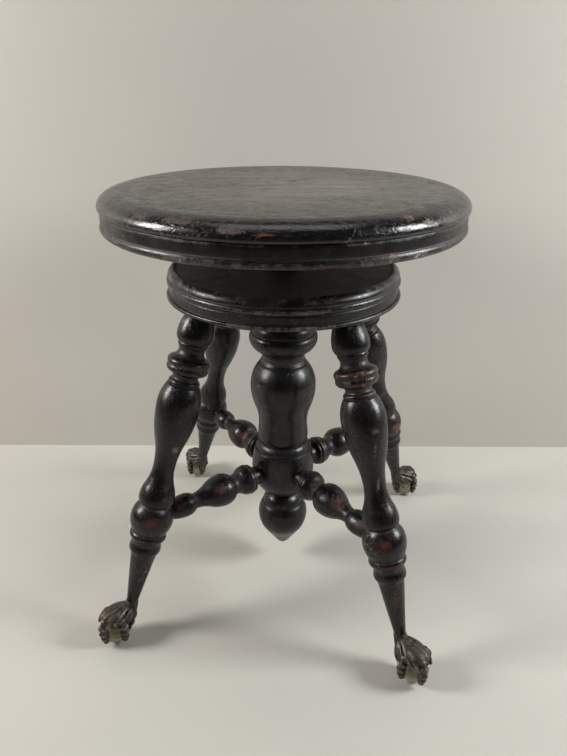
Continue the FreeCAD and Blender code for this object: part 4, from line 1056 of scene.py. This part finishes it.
# %% Lumps of a claw
TOE_RADII = (4.4, 4.5, 4.3, 3.9, 2.9)
FRONT_TOE = ((9.0, 24.0), (15.4, 20.0), (15.8, 10.5), (15.4, 3.2), (13.8, -4.2))
SIDE_TOE = ((9.0, 21.5), (14.9, 18.6), (15.3, 9.8), (15.0, 2.6), (13.7, -4.2))
HEEL_TOE = ((-20.4, 0, 20.0, 5.0), (-19.6, 0, 10.0, 4.8), (-17.4, 0, 3.0, 4.2),
            (-14.0, 0, -4.0, 3.0))
SOCKET = ((-21.4, 0, 29.3, 6.9), (-18.6, 0, 21.0, 7.2), (-16.6, 0, 13.0, 6.0),
          (-15.6, 0, 5.0, 4.2))
INSTEP = ((-19.5, 0, 25.0, 6.6), (-12.0, 0, 25.5, 6.4), (-4.0, 0, 24.0, 6.0))
STRANDS = (
    (((-19.0, 4.4, 27.0, 2.0), (-10.0, 10.6, 23.0, 1.9), (-3.0, 13.8, 18.4, 1.9)), 3.0, 0.1),
    (((-19.6, 5.0, 24.0, 1.9), (-12.6, 11.0, 18.6, 1.8), (-5.0, 13.2, 12.4, 1.5)), 0.0, 0.0),
    (((-17.0, 3.2, 29.0, 1.7), (-6.0, 9.4, 27.6, 1.9), (4.0, 12.2, 21.4, 1.9)), 0.0, 0.0),
    (((-20.6, 4.6, 22.0, 1.9), (-17.2, 9.0, 13.0, 1.9), (-12.8, 9.8, 7.4, 1.6)), 0.0, 0.0),
    (((2.0, 8.0, 27.0, 1.8), (9.6, 10.0, 22.0, 2.1), (13.6, 8.4, 16.4, 1.8)), 0.0, 0.0))


def toe(turn, path):
    """A toe's path is (distance out, height) pairs in a plane turned about the ball."""
    c, s = math.cos(math.radians(turn)), math.sin(math.radians(turn))
    rows = [(c * out, s * out, up, radius) for (out, up), radius in zip(path, TOE_RADII)]
    return tube(rows, 5.5, 0.22)


def claw_lumps(turn):
    """The palm's two blocks, the socket, the instep and the toes, with strands at both sides."""
    lumps = [block((1.2, 0.0, 22.6), (13.6, 12.0, 8.4), 2.3, 0.06),
             block((-5.0, 0.0, 18.2), (16.0, 13.4, 8.4), 2.4),
             tube(SOCKET), tube(INSTEP), toe(turn, FRONT_TOE)]
    for way in (-1.0, 1.0):
        lumps.append(toe(turn + way * 90.0, SIDE_TOE))
        for path, knuckles, depth in STRANDS:
            lumps.append(tube([(x, way * y, z, r) for x, y, z, r in path], knuckles, depth))
        lumps.append(block((-9.0, way * 8.2, 17.6), (7.0, 4.6, 5.0)))
    return lumps + [tube(HEEL_TOE, 3.0, 0.12)]


print(len(claw_lumps(0.0)), "lumps make a claw")


def fan_ribs(points):
    """Ribs that fan from the ankle A towards the ball: 0.24 cos(22 t) mm, where t is the angle
    about the line from A to the ball's centre. They fade out at the socket and below the web."""
    ankle = np.array([-20.0, 0.0, 27.0])
    across = np.array([0.0, 1.0, 0.0])
    over = np.cross(-ankle / np.linalg.norm(ankle), across)
    away = points - ankle
    turn = np.arctan2(away @ over, away @ across)
    fade = ((np.linalg.norm(away, axis=1) - 4.0) / 5.0).clip(0.0, 1.0)
    fade = fade * ((points[:, 2] - 5.0) / 6.0).clip(0.0, 1.0)
    return 0.24 * fade * np.cos(22.0 * turn) * (1.0 + 0.35 * np.cos(5.0 * turn))


# %% One casting and its nail for each foot
FOOT_CENTRE = np.array([226.0, 0.0, 12.32])
PALM_CENTRE = np.array([-2.0, 0.0, 14.0])
TOE_TURN = {"front_left": 18.0, "front_right": -12.0, "back_right": 12.0, "back_left": 20.0}
CLAW_PROUDEST = 0.5
BOX_EDGE = SEAT_RADIUS - 0.1
nail, nail_faces = joined([block((-20.6, 6.9, 27.2), (1.5, 0.8, 1.5))])
for number, (corner, azimuth) in enumerate(CORNERS.items()):
    points, normals, faces, edges = melted("claw_clay_" + corner, claw_lumps(TOE_TURN[corner]))
    points += normals * fan_ribs(points)[:, None]
    outward = points - PALM_CENTRE
    outward /= np.linalg.norm(outward, axis=1, keepdims=True)
    proud = ((points - averaged(points, edges, 24)) * outward).sum(1) / CLAW_PROUDEST
    spin = np.array(Matrix.Rotation(math.radians(azimuth), 3, "Z")).T
    at = (points + FOOT_CENTRE) @ spin
    at[:, :2] = at[:, :2].clip(-BOX_EDGE, BOX_EDGE)
    shift = number * 0.37
    claw = mesh_object("cast_claw_" + corner, at * MM, faces.tolist(), points * MM + shift,
                       proud.clip(-1.0, 1.0))
    dress(claw, claw_metal, "base", "claw_metal", "claw_" + corner)
    head = mesh_object("claw_nail_" + corner, (nail + FOOT_CENTRE) @ spin * MM, nail_faces,
                       nail * MM + shift, np.full(len(nail), 0.4))
    dress(head, head_steel, "base", "claw_metal")
    print("  faces", len(faces), "lowest", round(float(at[:, 2].min()), 2), "mm")

# %% [markdown]
# ## The lifting screw and its fixings
#
# The screw is the one part the CAD keeps plain: its thread is a surface whose radius follows
# the height and the angle together. Its pitch is the one the joint uses, so a turn of the seat
# lifts it by one thread. Slotted wood screws hold the spider to the seat and the nut to the
# disc. Each head is a low dome with a slot sunk in it.

# %% Thread
CREST = 12.65
THREAD_DEPTH = 2.6
END_TAPER = 1.6
levels = np.linspace(screw_low, screw_high, int((screw_high - screw_low) / 0.42))[:, None]
turns = np.linspace(0.0, TAU, 96, endpoint=False)[None, :]
phase = np.abs(((levels / PITCH - turns / TAU) % 1.0) * 2.0 - 1.0)
flank = ((phase - 0.22) / 0.5).clip(0.0, 1.0)
ends = (np.minimum(levels - screw_low, screw_high - levels) / 3.0).clip(0.0, 1.0)
radius = CREST - THREAD_DEPTH * flank * flank * (3.0 - 2.0 * flank) - END_TAPER * (1.0 - ends)
points, faces = joined([np.stack([radius * np.cos(turns), radius * np.sin(turns),
                                  np.broadcast_to(levels, radius.shape)], -1)])
thread = mesh_object("threaded_screw", points * MM, faces, points * MM, 0.7 - 1.5 * flank)
dress(thread, screw_steel, "screw", "screw_steel", "screw")

# %% Screw heads
HEAD_RADIUS = 4.2
SHANK_RADIUS = 2.3
SHANK_LENGTH = 4.5


def heads(name, places, body, up, seed, rise=1.0):
    """Slotted domes on shanks: height = 0.35 + 1.25 (1 - (r / R)^2)^0.5, less a slot 0.9 deep
    where |x| is under 0.5 mm. Each has its slot at its own angle. Up is 1 where the heads look
    up and -1 where they look down, and a rise under 1 makes them lower."""
    rng = np.random.default_rng(seed)
    share = np.linspace(0.04, 1.0, 26)[:, None]
    turns = np.linspace(0.0, TAU, 72, endpoint=False)[None, :]
    x, y = np.cos(turns), np.sin(turns)
    slot = 1.0 - ((np.abs(HEAD_RADIUS * share * x) - 0.42) / 0.14).clip(0.0, 1.0)
    top = 0.35 + 1.25 * np.sqrt((1.0 - share ** 2).clip(0.0, 1.0)) - 0.9 * slot * (share < 0.99)
    dome = HEAD_RADIUS * share
    rows = [np.stack([dome * x, dome * y, np.maximum(top, 0.12)], -1)]
    for radius, height in ((HEAD_RADIUS, 0.0), (SHANK_RADIUS, 0.0), (SHANK_RADIUS, -SHANK_LENGTH)):
        rows.append(np.stack([radius * x, radius * y, np.full_like(x, height)], -1))
    one = np.concatenate(rows)[::-1] * [1.0, up, up * rise]
    relief = np.concatenate([(0.4 - 1.2 * slot).clip(-1.0, 1.0), np.zeros((3, 72))])[::-1]
    grids = []
    for place in places:
        a = rng.uniform(0.0, math.pi)
        grids.append(one @ np.array(Matrix.Rotation(a, 3, "Z")).T + place)
    points, faces = joined(grids)
    relief = np.tile(relief.ravel(), len(places))
    piece = mesh_object(name, points * MM, faces, points * MM, relief)
    dress(piece, head_steel, body, "black_iron")


def rings(radii, degrees, height):
    """Places on circles about the axis, all at one height."""
    return [(r * math.cos(a), r * math.sin(a), height) for r in radii for a in np.radians(degrees)]


heads("spider_screws", rings((42.0, 64.0), (45.0, 135.0, 225.0, 315.0), under_low - 6.0),
      "seat", -1.0, 5)
heads("nut_screws", rings((23.5,), (0.0, 90.0, 180.0, 270.0), nut_high), "base", 1.0, 6, 0.4)

# %% [markdown]
# ## Floor, backdrop and light
#
# A plain pale floor, and behind the stool a plain wall that can be seen from its front side
# only, so that it never hides the stool from behind. Two tall soft lights stand to the left
# and right, as the paired highlights on every turning show, and a weak pale sky fills in. The
# camera sees that sky brighter than it lights the stool, so that the background stays pale.

# %% Floor and backdrop
WALL_DISTANCE = 0.262
WALL_REACH = 1.6
WALL_HEIGHT = 0.85
FLOOR_REACH = 5.0


def paper(name, tone, one_sided):
    """Plain paper with a slight mottle, and clear from behind where it is one-sided."""
    material, tree = blank(name)
    place = add(tree, "TexCoord").outputs["Object"]
    darker = tuple(v * 0.93 for v in tone[:3]) + (1.0,)
    tint = mix(tree, noise(tree, place, 5.0, 3.0), tone, darker)
    surface = add(tree, "BsdfPrincipled", {"Base Color": tint, "Roughness": 0.85})
    if one_sided:
        behind = add(tree, "NewGeometry").outputs["Backfacing"]
        clear = add(tree, "BsdfTransparent")
        surface = add(tree, "MixShader", {0: behind, 1: surface, 2: clear})
    add(tree, "OutputMaterial", {"Surface": surface})
    return material


def stage_sheet(name, corners, material):
    """A flat sheet of the stage, which is no part of the stool."""
    mesh = bpy.data.meshes.new(name)
    mesh.from_pydata([tuple(corner) for corner in corners], [], [(0, 1, 2, 3)])
    mesh.materials.append(material)
    piece = bpy.data.objects.new(name, mesh)
    bpy.context.scene.collection.objects.link(piece)
    print(name, "from", [round(v, 2) for v in corners[0]])


stage_sheet("floor", [photo_frame(x * FLOOR_REACH, y * FLOOR_REACH, 0.0)
                      for x, y in ((-1, -1), (1, -1), (1, 1), (-1, 1))],
            paper("floor_paper", rgb(188, 185, 177), False))
stage_sheet("backdrop", [photo_frame(x * WALL_REACH, WALL_DISTANCE, z * WALL_HEIGHT)
                         for x, z in ((-1, 0), (1, 0), (1, 1), (-1, 1))],
            paper("wall_paper", rgb(200, 195, 187), True))

# %% Lights and sky


def soft_box(name, place, aim, width, height, watts, tone):
    """A rectangular lamp that faces a point. Place and aim are as the photographer saw them."""
    lamp = bpy.data.lights.new(name, "AREA")
    lamp.shape = "RECTANGLE"
    lamp.size, lamp.size_y = width, height
    lamp.energy = watts
    lamp.color = tone
    item = bpy.data.objects.new(name, lamp)
    bpy.context.scene.collection.objects.link(item)
    item.location = photo_frame(*place)
    item.rotation_mode = "QUATERNION"
    item.rotation_quaternion = (photo_frame(*aim) - item.location).to_track_quat("-Z", "Y")
    print(name, watts, "W")


STOOL_MIDDLE = (0.0, 0.0, 0.25)
soft_box("light_left", (-1.30, -0.22, 0.95), STOOL_MIDDLE, 0.40, 0.56, 21.0, (1.0, 0.99, 0.97))
soft_box("light_right", (1.30, -0.20, 0.95), STOOL_MIDDLE, 0.40, 0.56, 23.0, (0.97, 0.99, 1.0))
soft_box("light_above", (0.0, 0.1, 1.9), (0.0, 0.0, 0.0), 1.2, 0.8, 6.0, (1.0, 1.0, 1.0))

SKY_LIGHT = 0.09
SKY_SEEN = 0.85
world = bpy.data.worlds.new("soft_sky")
world.use_nodes = True
sky = world.node_tree
background = sky.nodes["Background"]
background.inputs["Color"].default_value = rgb(206, 204, 199)
seen = add(sky, "LightPath").outputs["Is Camera Ray"]
plug(sky, spread(sky, seen, 0.0, 1.0, SKY_LIGHT, SKY_SEEN), background.inputs["Strength"])
bpy.context.scene.world = world
bpy.context.scene.view_settings.view_transform = "Standard"

# %% The end
bpy.context.view_layer.update()
